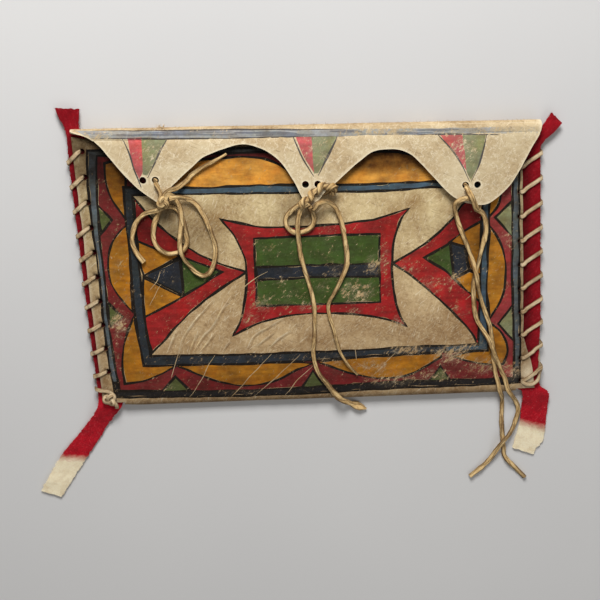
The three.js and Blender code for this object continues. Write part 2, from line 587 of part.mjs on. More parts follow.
// Right tie: out from under the lobe, back across its face and down to the floor
const RIGHT_TIP_TAIL = [
  [113.8, 51.3, 11], [113.7, 47.1, 11.1], [113, 43.8, 11.4], [112, 41.4, 13], [110.4, 41.5, 16.4],
  [108.4, 45, 18.6], [106.6, 48.7, 18], [103.4, 49.7, 18.1], [100.1, 49.5, 18.6],
  [96, 47.6, 18.6], [94.8, 43.8, 16], [96.2, 37.4, 13.2], [98.2, 31.2, 12.5], [101, 24.3, 12.5],
  [103.8, 17.6, 12.4], [106.4, 11.1, 12.3], [108.7, 4.6, 13.4], [110.4, -1.7, 15.3],
  [112, -8.1, 15.5], [113.6, -15.3, 13.9], [115.4, -22.3, 12.1], [118, -30.7, 11.4],
  [121, -38.2, 11.1], [123.8, -45.7, 10.8], [125.4, -53.4, 10.6], [126.6, -61.5, 10.4],
  [127.5, -69, 10.2], [128.4, -75.7, 10], [129.4, -82.4, 9.8], [131.6, -89.7, 9.6],
  [133.6, -97.3, 9.6], [135.4, -101.8, 8], [136.6, -105.2, 5], [137.4, -109.4, 2.6],
  [137.6, -114, 2], [137.7, -123.5, 2], [138.5, -132.4, 2], [139.5, -140.6, 2],
  [140.3, -147.6, 2], [141.2, -153.3, 2], [143.9, -157.7, 2], [148.4, -162.5, 2],
  [153.4, -167.8, 2], [157.5, -172.3, 2],
];

const parfleche = new THREE.Group();
parfleche.name = 'parfleche_case';

function piece(name, geometry, material) {
  const mesh = new THREE.Mesh(geometry, material);
  mesh.name = name;
  parfleche.add(mesh);
}

piece('case_body', caseBody(), rawhide);
piece('flap', flap(), rawhide);
piece('left_edge_cloth', leftCloth(), redWool);
piece('right_edge_cloth', rightCloth(), redWool);
piece('left_lacing', leftLacing(), laceHide);
piece('right_lacing', rightLacing(), laceHide);
piece('left_tie', tie([LEFT_LOOP, LEFT_BOW, LEFT_END]), buckskin);
piece('middle_tie', tie([MIDDLE_RING, MIDDLE_LEFT_TAIL, MIDDLE_RIGHT_TAIL]), buckskin);
piece('right_tie', tie([RIGHT_HOLE_TAIL, RIGHT_TIP_TAIL]), buckskin);

export default parfleche;
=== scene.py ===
"""A small parfleche case: painted rawhide, wool strips laced into its ends, and three thong ties.

Lengths are in millimetres until a mesh is made. x runs along the case, y to its top fold and z out
of its painted front. The sheet of rawhide is drawn flat, by x and by the run from the front panel's
free edge: down the front, round the bottom fold, up the back, round the top fold and down the flap.
"""

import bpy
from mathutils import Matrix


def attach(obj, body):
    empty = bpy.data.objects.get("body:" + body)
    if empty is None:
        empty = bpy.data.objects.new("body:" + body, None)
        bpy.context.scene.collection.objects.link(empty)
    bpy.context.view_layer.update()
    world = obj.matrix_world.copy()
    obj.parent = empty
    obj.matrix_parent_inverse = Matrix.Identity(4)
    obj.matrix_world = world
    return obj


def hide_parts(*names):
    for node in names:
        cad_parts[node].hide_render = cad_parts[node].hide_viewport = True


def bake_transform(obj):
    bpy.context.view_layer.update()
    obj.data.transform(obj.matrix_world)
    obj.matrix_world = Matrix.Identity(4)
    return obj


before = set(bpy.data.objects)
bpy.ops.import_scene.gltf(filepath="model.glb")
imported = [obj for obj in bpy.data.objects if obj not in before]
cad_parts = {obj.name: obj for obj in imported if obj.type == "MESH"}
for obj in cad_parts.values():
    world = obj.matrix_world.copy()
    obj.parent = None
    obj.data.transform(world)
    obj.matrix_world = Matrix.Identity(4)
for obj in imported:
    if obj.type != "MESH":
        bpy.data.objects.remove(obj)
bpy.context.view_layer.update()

import math

import bpy
import numpy as np
from mathutils import Matrix, Vector, noise
from mathutils.geometry import delaunay_2d_cdt
from mathutils.kdtree import KDTree

MM = 0.001
LOWEST = 0.03  # nothing lies lower than this above the floor
UPWARD = Vector((0, 0, 1))

# Rawhide sheet
RAWHIDE = 1.6
CASE_WIDTH = 318.5
LEFT, RIGHT = -CASE_WIDTH / 2, CASE_WIDTH / 2
TOP, BOTTOM = 101.0, -101.0
LEAN = -0.054  # how far the whole case leans over for each millimetre up
BULGE = 6.0  # of the front's middle above its ends
SWELL_POWER = 2.5
MOUTH_SLACK = 0.2  # share of the bulge that is left at the mouth
FOLD_Y = 97.0
TOP_FOLD_DEPTH = TOP - FOLD_Y
TOP_FOLD_HEIGHT = 11.5
FRONT_EDGE_Y = 88.0
BOTTOM_FOLD_Y = -97.3
SEAM_START, SEAM_END = -144.45, 141.45
SEAM_RAMP = 14.0  # the back rises to the seams over this width
SEAM_LIFT = 2.2  # of the back's underside at the seams
SEAM_TOP = 7.4  # height of the front's painted face there
LOBE_GAP = 5.0  # between the lobes and the front
LOBE_REACH = 52.0  # the flap rises from the fold to this distance from it
LIFT_POWER = 0.6  # below 1 it rises soonest beside the fold
FLAP_LEAD = 4.0  # it is level this far from the fold

# Runs along the flat sheet
BOTTOM_FOLD_RUN = 9.1
TOP_FOLD_RUN = 13.1
RUN_BOTTOM = FRONT_EDGE_Y - BOTTOM_FOLD_Y
RUN_BACK = RUN_BOTTOM + BOTTOM_FOLD_RUN
RUN_TOP = RUN_BACK + FOLD_Y - BOTTOM_FOLD_Y
RUN_FLAP = RUN_TOP + TOP_FOLD_RUN
BEND_BEFORE, BEND_AFTER = 3.3, 4.0  # the bend between case and flap, about the end of the fold
RUN_CREASE = RUN_FLAP - BEND_BEFORE
RUN_LOBES = RUN_FLAP + BEND_AFTER

# Cuts in the sheet
NOTCH_LEFT, NOTCH_RIGHT = -143.85, 140.85  # the bottom fold's corners are cut back to here
SLIT = (2.7, 5.4)  # in the left end of the top fold, by run from the back panel
SLIT_END = -151.7
TRIM_EDGE = 146.7  # right edge of the front panel
CORNER_START, CORNER_RISE = -138.0, 7.5  # the upper left corner runs up under the flap
FLARE_WIDTH, FLARE_HEIGHT = 7.9, 44.0  # the right edge runs out towards its foot
FLARE = [(0, 1), (0.42, 0.72), (0.75, 0.5)]  # by shares of its width and height
HOLE_X = {"left": -153.25, "right": 144.6}
HOLE_ROWS = [86.0 - 17.7 * i for i in range(11)]
HOLE_DIAMETER = {"left": 4.2, "right": 3.2}
TIE_HOLE_DIAMETER = 4.8
TIE_HOLE_SPACING = 8.4
TIE_HOLES = [(-109.85, 66.8), (-0.6, 61.8), (109.25, 58.2)]  # midway between each lobe's two holes
FLAP_EDGE = [  # the three lobes, from the left end to the right end
    (LEFT, 100.2), (-143.25, 92.7), (-126.75, 71.3), (-116.95, 60.2), (-108.25, 53.7), (-104.05, 51.6),
    (-99.25, 58.4), (-84.75, 71.5), (-70.25, 82.4), (-47.6, 89.4), (-33.3, 86.4), (-21.5, 78.1),
    (-12.4, 63.6), (-7, 51.9), (-1.6, 47.2), (3.4, 50.8), (9, 57.5), (17.2, 63.8), (30.8, 74.7),
    (44.3, 83.2), (63.55, 82.7), (76.55, 72), (89.25, 57.3), (98.35, 49), (108.75, 45.2), (118.45, 44.4),
    (126.25, 48.1), (137.25, 58.3), (145.25, 71), (152.05, 82.5), (157.85, 91.6), (RIGHT, FOLD_Y),
]

# Wool strips
CLOTH = 1.4
CLOTH_WIDTH = 18.0
CLOTH_EDGE = {"left": -162.75, "right": 159.75}
CLOTH_SEAT, CLOTH_FLOOR = 4.8, 0.75  # height of the strips' middle in the seams and on the floor
CLOTH_LOW, CLOTH_HIGH = CLOTH_SEAT - CLOTH / 2, CLOTH_SEAT + CLOTH / 2

# Lacing
CLEARANCE = 0.3  # between the lace and what it passes
LACE_WIDTH = 3.0
LACE_THICKNESS = 1.1
STITCH_SLANT = {"left": (-8.0, -3.5), "right": (9.5, 9.5)}  # at the top and at the bottom
TRIM_MARGIN = TRIM_EDGE - HOLE_X["right"]

# Ties: a flat-lying oval thong
THONG_WIDTH = 4.2
THONG_DEPTH = 2.7
THONG_CREASE = 0.34  # depth of the fold along a thong, as a share of its radius

# Painted pattern, by x across the unleaned case and y. Each field has a dark outline.
LINE = 1.6
LINE_UNEVEN = 0.6  # how much its width changes, as a share
SLIVER = 1.0  # widest bare sliver between a line and its field
BAND_OUTSIDE = [
    (-149.5, 86.5), (-150.5, 80), (-152, 49), (-152, 22), (-151.5, -6), (-152, -28), (-152.2, -50.5),
    (-151.5, -72), (-150, -93), (-125.5, -94), (-90, -95), (-54, -95.5), (-17.5, -95.5), (19, -94.5),
    (55.5, -93.5), (92, -93.5), (129, -93.5), (143.6, -92.5), (144.4, -67.5), (144.1, -44), (144, -21.5),
    (144, 8.5), (144.1, 34), (144.2, 59), (144.4, 86),
]
BAND_INSIDE = [
    (-143.5, 83), (-144, 80), (-147, 49), (-148, 22), (-148, -6), (-148.5, -28.5), (-148.5, -50.5),
    (-147.5, -72), (-146.5, -88.5), (-125, -89), (-89.5, -90.5), (-53.5, -91), (-17.5, -90.5), (19, -89),
    (55.5, -88), (92, -88.5), (129, -89), (139.2, -89), (140, -67), (139.2, -44), (138.8, -21),
    (138.8, 8.5), (139.1, 34), (139.6, 59), (139.8, 83),
]
FRAME_OUTSIDE = [
    (-128, 61), (-129, 36.5), (-128.5, 9.5), (-129.5, -19.5), (-129, -45.5), (-127.5, -69.5),
    (-87.5, -69.5), (-52, -69.5), (-16, -69), (20, -67.5), (56, -66.5), (89, -66), (120.5, -66.5),
    (120.5, -43), (120, -20), (121, 6), (122.5, 27.5), (123, 57), (81.5, 60), (40, 59.5), (-1.5, 60),
    (-38.5, 60.5), (-63, 60), (-90, 59.5),
]
FRAME_INSIDE = [
    (-122.5, 55.5), (-123, 34.5), (-123, 8), (-123, -19.5), (-123, -42), (-122, -62), (-87, -62),
    (-51.5, -62.5), (-16, -62), (20, -62), (56, -61), (85, -61), (113, -61.5), (114, -42.5), (115, -19.5),
    (116, 4), (117, 26), (117.5, 53), (84.5, 56), (60.5, 55), (39.5, 54.5), (-2, 55), (-36, 55),
    (-63, 55.5), (-90, 55.5),
]
# The band is darker along the foot of the case
FOOT_BAND = BAND_OUTSIDE[8:18] + [(143.4, -82), (-150.5, -82)]
# The frame is darker on its left side and along its foot
DEEP_FRAME = FRAME_OUTSIDE[:12] + [(89, -55), (-115, -55), (-115, 60)]
# The right side of the border is a paler red
ROSE = [(123, 57), (139, 82), (137.6, 34), (137.4, -10), (138, -44), (138.4, -86), (128, -84), (119, -64)]
# Yellow scallops and green points of the border, from the upper left round to the top
BORDER = [
    ("yellow", [
        (-139, 78), (-129.5, 80), (-125, 73), (-126.5, 59), (-127.5, 48.5), (-129, 39), (-136.5, 52.5),
        (-139.5, 65),
    ]),
    ("yellow", [
        (-127.5, 35.5), (-135, 29), (-140.5, 20.5), (-144, 8), (-144, -5), (-140.5, -15), (-131, -28.5),
        (-130, -8.5), (-128.5, 13),
    ]),
    ("yellow", [
        (-130.5, -32), (-136, -43.5), (-140.5, -57), (-142.5, -70.5), (-142, -83), (-128, -81),
        (-116.5, -76), (-105.5, -70.5), (-109, -69), (-127.5, -69.5), (-128.5, -53.5),
    ]),
    ("yellow", [
        (-104, -70), (-91.5, -76), (-78, -82.5), (-61, -87), (-44.5, -86.5), (-30.5, -82.5),
        (-19.5, -76.5), (-7.5, -71), (-19, -69.5), (-52, -70), (-87.5, -69.5),
    ]),
    ("yellow", [
        (-3.5, -70), (12, -77), (28, -82.5), (46, -85), (63, -83), (74.5, -77), (86, -70), (86, -66.5),
        (56, -67), (20, -68),
    ]),
    ("yellow", [
        (94, -69.5), (107, -74.5), (121.5, -77.5), (131.5, -77.5), (135, -67), (131.5, -55), (123.5, -46),
        (121, -54.5), (120.5, -66), (107, -67),
    ]),
    ("yellow", [
        (123, 27), (129.5, 16.5), (133.5, 1.5), (133.5, -13.5), (130.5, -28), (122, -42), (120, -20),
        (121, 6),
    ]),
    ("yellow", [
        (122.5, 33), (129.5, 42), (131.5, 54), (131, 66), (127.5, 76), (121, 78), (118, 71), (122, 57),
    ]),
    # the arches' scallops, in a lighter yellow that is partly painted light from above
    ("amber", [
        (-98, 61), (-89, 71), (-78, 77.5), (-59.5, 80), (-37, 79.5), (-21, 74), (-9.5, 61), (-38.5, 60.5),
        (-63, 59.5),
    ]),
    ("amber", [
        (4, 60.5), (16.5, 72.5), (34, 80.5), (54.5, 81), (71.5, 78), (85, 69.5), (95.5, 60), (81.5, 60),
        (39.5, 59),
    ]),
    ("moss", [(-147, 49), (-138.5, 38), (-146.5, 28.5)]),
    ("moss", [(-148, -21), (-138.5, -32), (-147.5, -39.5)]),
    ("moss", [(-116.5, -89.5), (-106, -78), (-96.5, -90)]),
    ("moss", [(-16, -90.5), (-7.5, -77), (0.5, -90)]),
    ("moss", [(76.5, -88.5), (85.5, -77), (92, -88.5)]),
    ("sage", [(127, 33), (139.1, 44), (138.9, 19)]),
    ("sage", [(128, -46.5), (138.8, -32.5), (139.4, -59.5)]),
]
# The cream field: a chevron at each end and a hollow-sided block between them
FIELD = [
    ("red", [
        (-121.5, 53.5), (-112, 40), (-93.5, 22), (-72.5, 8.5), (-49.5, -0.5), (-74.5, -16.5),
        (-98.5, -36.5), (-110.5, -50), (-120.5, -59.5), (-122.5, -46), (-123, -32.5), (-94, -17),
        (-66.5, 0), (-77.5, 5), (-94, 12), (-107.5, 16.5), (-122.5, 23), (-122.5, 38),
    ]),
    ("yellow", [(-122.5, 23), (-107.5, 16.5), (-94, 12), (-120.5, -2), (-122, 8)]),
    ("blue", [(-120.5, -2), (-94.5, 10), (-94, -16.5)]),
    ("green", [(-94, 12), (-77.5, 5), (-66.5, 0), (-94, -17)]),
    ("yellow", [(-121, -3.5), (-95, -17.5), (-123, -32.5), (-122.5, -17.5)]),
    ("red", [
        (53, 3), (72.5, 14), (87, 24.5), (98, 35.5), (104, 43), (112, 50.5), (117.5, 50), (117.5, 31),
        (105, 24), (92, 14.5), (75.5, 6), (90, -4), (97, -11.5), (106, -20.5), (114.5, -28.5),
        (114, -46.5), (113, -61.5), (107.5, -50.5), (94.5, -35), (80, -20), (66.5, -7.5),
    ]),
    ("green", [(75.5, 6), (94, 16), (95.5, -9.5), (90, -4)]),
    ("blue", [(94, 16), (104.5, 12.5), (107.5, -4.5), (96.5, -9.5)]),
    ("yellow", [
        (94, 16.5), (105, 24), (117, 30.5), (116, 12), (115.2, -8), (107.8, -4.5), (106.5, 4), (105, 12.5),
    ]),
    ("yellow", [(97, -10.5), (107.5, -5), (115, -8.5), (114.5, -28), (106, -20.5)]),
    ("red", [
        (-64, 37.5), (-51, 34.5), (-36.5, 31.5), (-17, 31), (3.5, 31.5), (24.5, 33), (42, 35), (56, 39),
        (66, 42), (61, 35.5), (56, 24), (53.5, 13.5), (52.5, 2), (52.5, -13), (54.5, -26.5), (57, -36),
        (61.5, -45), (53, -41), (39, -36.5), (21.5, -33.5), (3.5, -32.5), (-14, -32.5), (-28.5, -34.5),
        (-42.5, -38.5), (-53.5, -43), (-62.5, -47.5), (-56.5, -37), (-53, -24.5), (-50.5, -13.5),
        (-49.5, 0), (-50, 10), (-52.5, 18.5), (-57, 28),
    ]),
    ("green", [(-42.5, 23.5), (0.5, 24.5), (44.5, 24.5), (43, -25.5), (-1, -25.5), (-44, -25.5)]),
    ("blue", [(-42.5, 3), (-1, 3.5), (43.5, 3), (43.2, -6.5), (-1.5, -5.5), (-42.8, -6.5)]),
]
# The flap: a pale stripe beside the fold and a split point down each lobe
FLAP_FIELDS = [
    ("stripe", [
        (-156, 101.5), (-106, 99.8), (-59.5, 99.2), (-6, 98.2), (48, 97.7), (96, 97.2), (144, 97),
        (156.5, 96), (156.5, 92), (96, 93.5), (48, 93), (-6, 93.8), (-60, 94), (-106.5, 95), (-147, 96.5),
    ]),
    ("pink", [(-121.5, 95.5), (-112, 95.5), (-112.5, 82), (-113.5, 72.5), (-116.5, 68), (-119.5, 78.5)]),
    ("sage", [
        (-112.4, 95.4), (-94.5, 94.5), (-100, 87), (-105, 78.5), (-110.5, 70), (-113.6, 71), (-112.9, 82),
    ]),
    ("pink", [(-9.5, 94), (2, 93.5), (2, 81.5), (1.5, 69), (-4.5, 80.5)]),
    ("sage", [(1.6, 93.6), (19, 93), (11.5, 80.5), (4, 69), (1.3, 69), (1.6, 81.5)]),
    ("pink", [(89, 92.5), (104.5, 92.5), (105.5, 81), (106.5, 67.5), (98.5, 79)]),
    ("sage", [
        (104.2, 92.5), (120.5, 92.5), (117.5, 82), (114, 71), (109, 61.5), (106.2, 67.5), (105.2, 81),
    ]),
]
FLAP_LINE = 1.2
FLAP_LINES = [
    [(-125, 95), (-121.5, 86), (-119, 74), (-115.5, 62)],
    [(-94.5, 94.5), (-100.5, 86.5), (-105, 78), (-110.5, 68.5)],
    [(-11, 93.5), (-5.5, 79.5), (1, 67)],
    [(19, 93), (11.5, 80), (4, 67.5)],
    [(87.5, 92.5), (96.5, 82.5), (103.5, 71), (108, 60.5)],
    [(121, 92), (118, 82), (114.5, 71), (109, 60.5)],
    [(-146, 95.5), (-106.5, 94.5), (-60, 93.5), (-6, 93.5), (24, 93)],
    [(-144, 101), (-106, 100), (-59.5, 99.5), (-6, 98.5), (24.5, 98)],
    [(61.5, 93), (89, 93), (130, 92)],
]
# Deeper blue strokes along the stripe
STROKE = 1.7
STROKES = [
    [(-150, 99.5), (-141, 99), (-133, 98.6)],
    [(-132, 97.4), (-104, 97.2), (-70, 96.4), (-48, 96.2)],
    [(-112, 98.8), (-80, 98.2), (-52, 98)],
    [(-50, 97.2), (-24, 96.8), (-8, 96.2)],
    [(-36, 95.4), (-14, 95.2), (4, 94.8)],
    [(14, 96.8), (26, 96.4), (36, 96)],
    [(50, 94.6), (66, 94.4), (84, 94.4)],
    [(72, 96.4), (90, 96), (102, 95.8)],
]
# Long pale scratches through the paint
SCRATCH = 0.5
SCRATCHES = [
    [(-109, -78.5), (-101, -59), (-92.5, -44)],
    [(-97, -95), (-86, -78.5), (-76.5, -62)],
    [(-67, -96), (-52.5, -79.5), (-36.5, -62.5)],
    [(-51, -96.5), (-31, -78.5), (-16, -63.5)],
    [(-28.5, -96), (-17, -82.5), (-7, -72.5)],
    [(-68, -20.5), (-59, -11.5), (-50, -5.5)],
    [(-58, -20.5), (-47.5, -7.5), (-34.5, -0.5)],
    [(24, -57), (24, -63), (24, -69.5)],
    [(38, -80), (45.5, -72), (53, -65)],
    [(-117.5, -12.5), (-112, -6.5), (-109, 1)],
    [(-118.5, -24), (-113.5, -15), (-109, -8)],
    [(104.5, -26.5), (110.5, -21), (115, -16.5)],
]
# Wrinkles that fan across the lower left of the cream field
WRINKLE = 1.1
WRINKLE_DEPTH = 0.4
WRINKLES = [
    [(-109, -61), (-104.5, -52), (-100.5, -43.5)],
    [(-100, -60), (-97, -50.5), (-89.5, -39.5), (-81.5, -30.5), (-73, -21.5)],
    [(-93, -60), (-89, -51.5), (-85, -45)],
    [(-90, -60), (-81.5, -48), (-76, -42.5), (-68.5, -30.5), (-60, -18.5)],
    [(-85, -60), (-78.5, -52), (-74, -46)],
    [(-69, -59.5), (-66.5, -56), (-63.5, -52)],
    [(-52, -58.5), (-46.5, -49.5), (-36.5, -43), (-25, -36.5)],
    [(-45.5, -57.5), (-38, -51.5), (-32, -46.5)],
    [(-36.5, -58.5), (-28.5, -51.5), (-20, -46)],
]
# Worn patches of the paint: (x, y, half width, half height, strength)
WORN = [
    (-141, -38, 7, 11, 0.9), (-146, -60, 5, 18, 0.35), (-40, -24, 9, 6, 0.75), (-8, -27, 12, 5, 0.6),
    (12, 0, 9, 8, 0.45), (2, -12, 8, 7, 0.4), (27, -17, 13, 9, 0.8), (40, 2, 7, 8, 0.8),
    (-26, -8, 6, 6, 0.35), (24, -33, 8, 5, 0.5), (-50, -34, 7, 8, 0.6), (62, -2, 12, 9, 0.5),
    (80, -14, 15, 9, 0.45), (98, -10, 7, 6, 0.7), (100, -34, 14, 10, 0.35), (62, -63, 16, 5, 0.8),
    (92, -68, 16, 9, 0.85), (118, -78, 18, 8, 0.7), (106, -62, 14, 4, 0.7), (36, -76, 16, 7, 0.7),
    (136, -84, 9, 7, 0.8), (80, -84, 18, 6, 0.6), (56, -42, 6, 7, 0.7), (-112, -86, 16, 5, 0.3),
    (-60, -92, 30, 4, 0.35), (50, -86, 22, 6, 0.7), (10, -70, 14, 8, 0.4), (48.5, 4, 4, 22, 0.5),
]
# Patches of hide rubbed pale, as above
RUBBED_PALE = [(150, -88, 7, 15, 1.0), (138, -88, 8, 6, 0.7), (-152, -60, 4, 30, 0.3)]
# Painted shadows where the ties lie on the front, and painted shade along its foot, as above
PAINTED_SHADOWS = [
    (-117, 34, 13, 17, 0.84), (-102, 38, 11, 11, 0.74), (-99, 26, 15, 15, 0.68), (-86, 26, 22, 20, 0.38),
    (-12, 40, 14, 12, 0.48), (108, 32, 13, 12, 0.65), (96, 24, 14, 10, 0.35), (115, 15, 9, 13, 0.58),
    (124, -62, 13, 9, 0.34), (-58, -84, 64, 6, 0.34),
]
# Worn patches of the flap, as above
FLAP_WORN = [
    (-142, 97, 16, 5, 0.75), (-60, 96, 12, 4, 0.35), (48, 96, 26, 6, 1.0), (100, 95, 22, 4, 0.55),
    (146, 95, 30, 6, 1.4), (-104, 84, 14, 12, 0.5), (4, 84, 14, 12, 0.5), (104, 84, 14, 12, 0.6),
]

# Thong routes
# Left tie: up through the lobe's hole and round its tip, a small loop and a short tail
LEFT_LOOP = [
    (-110.9, 61, 11.3), (-109.5, 66.2, 12), (-109.3, 66.8, 14.4), (-109.2, 66.3, 16.8),
    (-108.6, 64.4, 17.9), (-107.3, 61.4, 17.5), (-105.9, 57.4, 18.2), (-106.6, 53.6, 18.9),
    (-106.8, 49.6, 18.2), (-107.1, 47.6, 15.4), (-107.6, 45.4, 12.9), (-109.2, 40.9, 12),
    (-111.2, 36.4, 12), (-112.4, 30.8, 12), (-112.4, 25.1, 12.1), (-110.6, 20.3, 12.2),
    (-107.3, 16.8, 12.5), (-102.4, 14.5, 12.8), (-97.2, 15, 13.1), (-92.6, 16.6, 13.3),
    (-89.8, 21.6, 13.4), (-89.9, 27.9, 13.3), (-90.8, 34, 13.1), (-92.7, 41, 12.8), (-95.9, 46, 12.5),
    (-100.6, 48, 13), (-104.9, 47.5, 14.6), (-108.7, 45.9, 14.9), (-112.9, 44.7, 12.7),
    (-116.7, 43.3, 11.5), (-120.5, 40.5, 11.3), (-124, 36.2, 11.2), (-126, 30.9, 11.1), (-127.1, 25.2, 11),
    (-126.5, 19.9, 11.1), (-124, 14.2, 11.3), (-119.7, 8.7, 11.6),
]
# Left tie: out from under the lobe, round its tip and through the large loop
LEFT_BOW = [
    (-113.2, 61.4, 11.2), (-109.4, 55.9, 11.5), (-105.2, 50.4, 12), (-103.6, 48.3, 14), (-102.7, 48.6, 17),
    (-102.6, 51.2, 18.9), (-103, 55, 19.1), (-101, 57.8, 19.2), (-98.1, 56, 17.4), (-95.3, 52.6, 16.7),
    (-93.5, 47.5, 16.3), (-93, 40.6, 16.4), (-93.6, 31.8, 16.4), (-94.5, 23.1, 16.5), (-94.3, 17, 16.6),
    (-92.1, 10.7, 14.8), (-87.9, 4.8, 13.6), (-82.9, -0.1, 13.9), (-79, -1.7, 14), (-74.9, 0.5, 14.2),
    (-71.9, 6.3, 14.3), (-70.5, 12.8, 14.3), (-70.6, 20.6, 14.2), (-72.4, 27.6, 14), (-75, 34.6, 13.7),
    (-78.1, 42.2, 13.3), (-81.9, 48.2, 13.3), (-86.2, 52.2, 14), (-91.2, 54.5, 15.3), (-95.8, 55.2, 17.1),
    (-100.6, 54.8, 19.6),
]
# Left tie: the end that lies along the lobe's right edge
LEFT_END = [
    (-104.5, 54.5, 19.1), (-102.8, 58.5, 18.5), (-100.6, 60.3, 18.2), (-96.2, 61.2, 16.6),
    (-92.4, 62.6, 13.6), (-87.6, 66, 11.9), (-85.6, 68.7, 11.7), (-79.9, 72.8, 11.5), (-74.3, 75.8, 11.4),
    (-69.5, 78.2, 11.3), (-64.7, 80.7, 11.1), (-61, 83, 10.9),
]
# Middle tie: round the lobe's right edge, across its face and into a small ring
MIDDLE_RING = [
    (0.6, 54.2, 13.5), (6.1, 55.1, 13.5), (7.8, 56.4, 14.2), (11.4, 56.6, 16.2), (11.2, 59, 19.4),
    (7.3, 61, 19.4), (3, 60.4, 19.2), (-1.4, 58, 19.4), (-4.7, 54.7, 20.1), (-7.3, 51.8, 20.9),
    (-11.2, 49.4, 19.4), (-14.3, 46.5, 16.4), (-18.7, 42.5, 14.6), (-21.4, 38.6, 14.4),
    (-21.7, 34.1, 14.6), (-19.8, 30.4, 14.8), (-16.5, 28, 14.8), (-13.4, 27.4, 14.9), (-10, 28, 14.9),
    (-5.9, 29.8, 14.8), (-3.1, 33, 14.7), (-2.3, 36.9, 14.5), (-3, 40.2, 14.7), (-3.9, 43, 16),
    (-5, 44.6, 18.4), (-5.6, 47.2, 20.8),
]
# Middle tie: the long left tail, over the bottom fold to the floor
MIDDLE_LEFT_TAIL = [
    (-6.6, 49.8, 21.7), (-9.2, 47.5, 19.2), (-11.6, 44.1, 17.7), (-13, 40.5, 17.7), (-13.8, 36, 17.9),
    (-13.8, 31.1, 18.1), (-13.4, 26.4, 18.1), (-12.7, 19.3, 16.1), (-11.9, 12.2, 15.3), (-9.5, 2.5, 15.3),
    (-6.3, -8.4, 15.3), (-3.7, -19.3, 15.1), (-2.4, -28.3, 14.8), (-2.2, -38.9, 14.4), (-2.3, -49.6, 13.8),
    (-3, -59.7, 13.1), (-2.2, -69.5, 12.3), (1.2, -78.9, 11.4), (6.6, -86.7, 10.8), (14.2, -97.3, 9.6),
    (18.6, -101.7, 8), (22.4, -104.4, 5), (26.8, -107.2, 2.6), (31.4, -109.4, 2), (36.8, -111.5, 2),
]
# Middle tie: out from under the lobe, round its tip and down the front
MIDDLE_RIGHT_TAIL = [
    (-2.1, 56.3, 13.4), (-2.6, 51.5, 13.7), (-3.4, 46.8, 14), (-3, 44.6, 15.4), (-2.6, 44.4, 18.2),
    (-2.2, 46.4, 20.6), (-0.4, 49.4, 21.4), (4.2, 50.4, 20), (8, 49.1, 18), (11.9, 45.4, 15.9),
    (14.6, 40.3, 14.5), (16.2, 35.4, 14.5), (17.5, 30, 14.7), (18.7, 23.6, 15), (19.8, 16.6, 15.1),
    (20.4, 9.7, 15.2), (20.1, 2.7, 15.3), (16.5, -6.8, 15.3), (11.4, -17.5, 15.1), (7.5, -25.2, 14.9),
    (8.3, -33.6, 14.6), (11.1, -43.7, 14.1), (13.8, -54.3, 13.5), (16.4, -62.8, 12.8), (21.6, -72, 12),
    (28.9, -80.4, 11.2),
]
# Right tie: up through the lobe's left hole, over its tip and down to the floor
RIGHT_HOLE_TAIL = [
    (101.9, 58.3, 11), (101.9, 58.3, 14.2), (101.9, 58, 17), (102.4, 56.6, 18.9), (103.4, 54.6, 19.7),
    (105.2, 51.5, 21.4), (106.7, 47.9, 20.6), (108.4, 43.2, 18.6), (110, 41, 15.6), (112.6, 39.4, 13.2),
    (115.5, 36.9, 11.6), (117.3, 33.5, 11.2), (118.1, 29.1, 11.2), (118.2, 23.1, 11.3),
    (117.1, 16.9, 11.4), (115.3, 9.4, 11.7), (113.7, 1.8, 11.8), (112.2, -4.7, 12), (111, -11, 12.1),
    (110.6, -17.3, 12.1), (111.4, -25.5, 11.9), (112.4, -34.7, 11.7), (114.8, -42.4, 11.4),
    (118.9, -49.2, 11.9), (122.4, -55.1, 13.1), (125.8, -62.5, 13.9), (129.9, -72.5, 12.6),
    (134.2, -82.3, 10.3), (137.3, -89, 9.5), (139.8, -97.3, 9.6), (142.6, -101.9, 8), (145, -105.4, 5),
    (147.4, -109.2, 2.6), (149.2, -113, 2), (149.9, -117.9, 2), (148.7, -123.8, 2), (146.6, -130.3, 2.6),
    (143.2, -136.1, 4.2), (138.7, -140.9, 5.5), (135, -147.4, 3.8), (130.5, -156, 2), (125.4, -161.5, 2),
    (120.2, -166, 2), (115.5, -169.8, 2),
]
# Right tie: out from under the lobe, back across its face and down to the floor
RIGHT_TIP_TAIL = [
    (113.8, 51.3, 11), (113.7, 47.1, 11.1), (113, 43.8, 11.4), (112, 41.4, 13), (110.4, 41.5, 16.4),
    (108.4, 45, 18.6), (106.6, 48.7, 18), (103.4, 49.7, 18.1), (100.1, 49.5, 18.6), (96, 47.6, 18.6),
    (94.8, 43.8, 16), (96.2, 37.4, 13.2), (98.2, 31.2, 12.5), (101, 24.3, 12.5), (103.8, 17.6, 12.4),
    (106.4, 11.1, 12.3), (108.7, 4.6, 13.4), (110.4, -1.7, 15.3), (112, -8.1, 15.5), (113.6, -15.3, 13.9),
    (115.4, -22.3, 12.1), (118, -30.7, 11.4), (121, -38.2, 11.1), (123.8, -45.7, 10.8),
    (125.4, -53.4, 10.6), (126.6, -61.5, 10.4), (127.5, -69, 10.2), (128.4, -75.7, 10),
    (129.4, -82.4, 9.8), (131.6, -89.7, 9.6), (133.6, -97.3, 9.6), (135.4, -101.8, 8), (136.6, -105.2, 5),
    (137.4, -109.4, 2.6), (137.6, -114, 2), (137.7, -123.5, 2), (138.5, -132.4, 2), (139.5, -140.6, 2),
    (140.3, -147.6, 2), (141.2, -153.3, 2), (143.9, -157.7, 2), (148.4, -162.5, 2), (153.4, -167.8, 2),
    (157.5, -172.3, 2),
]

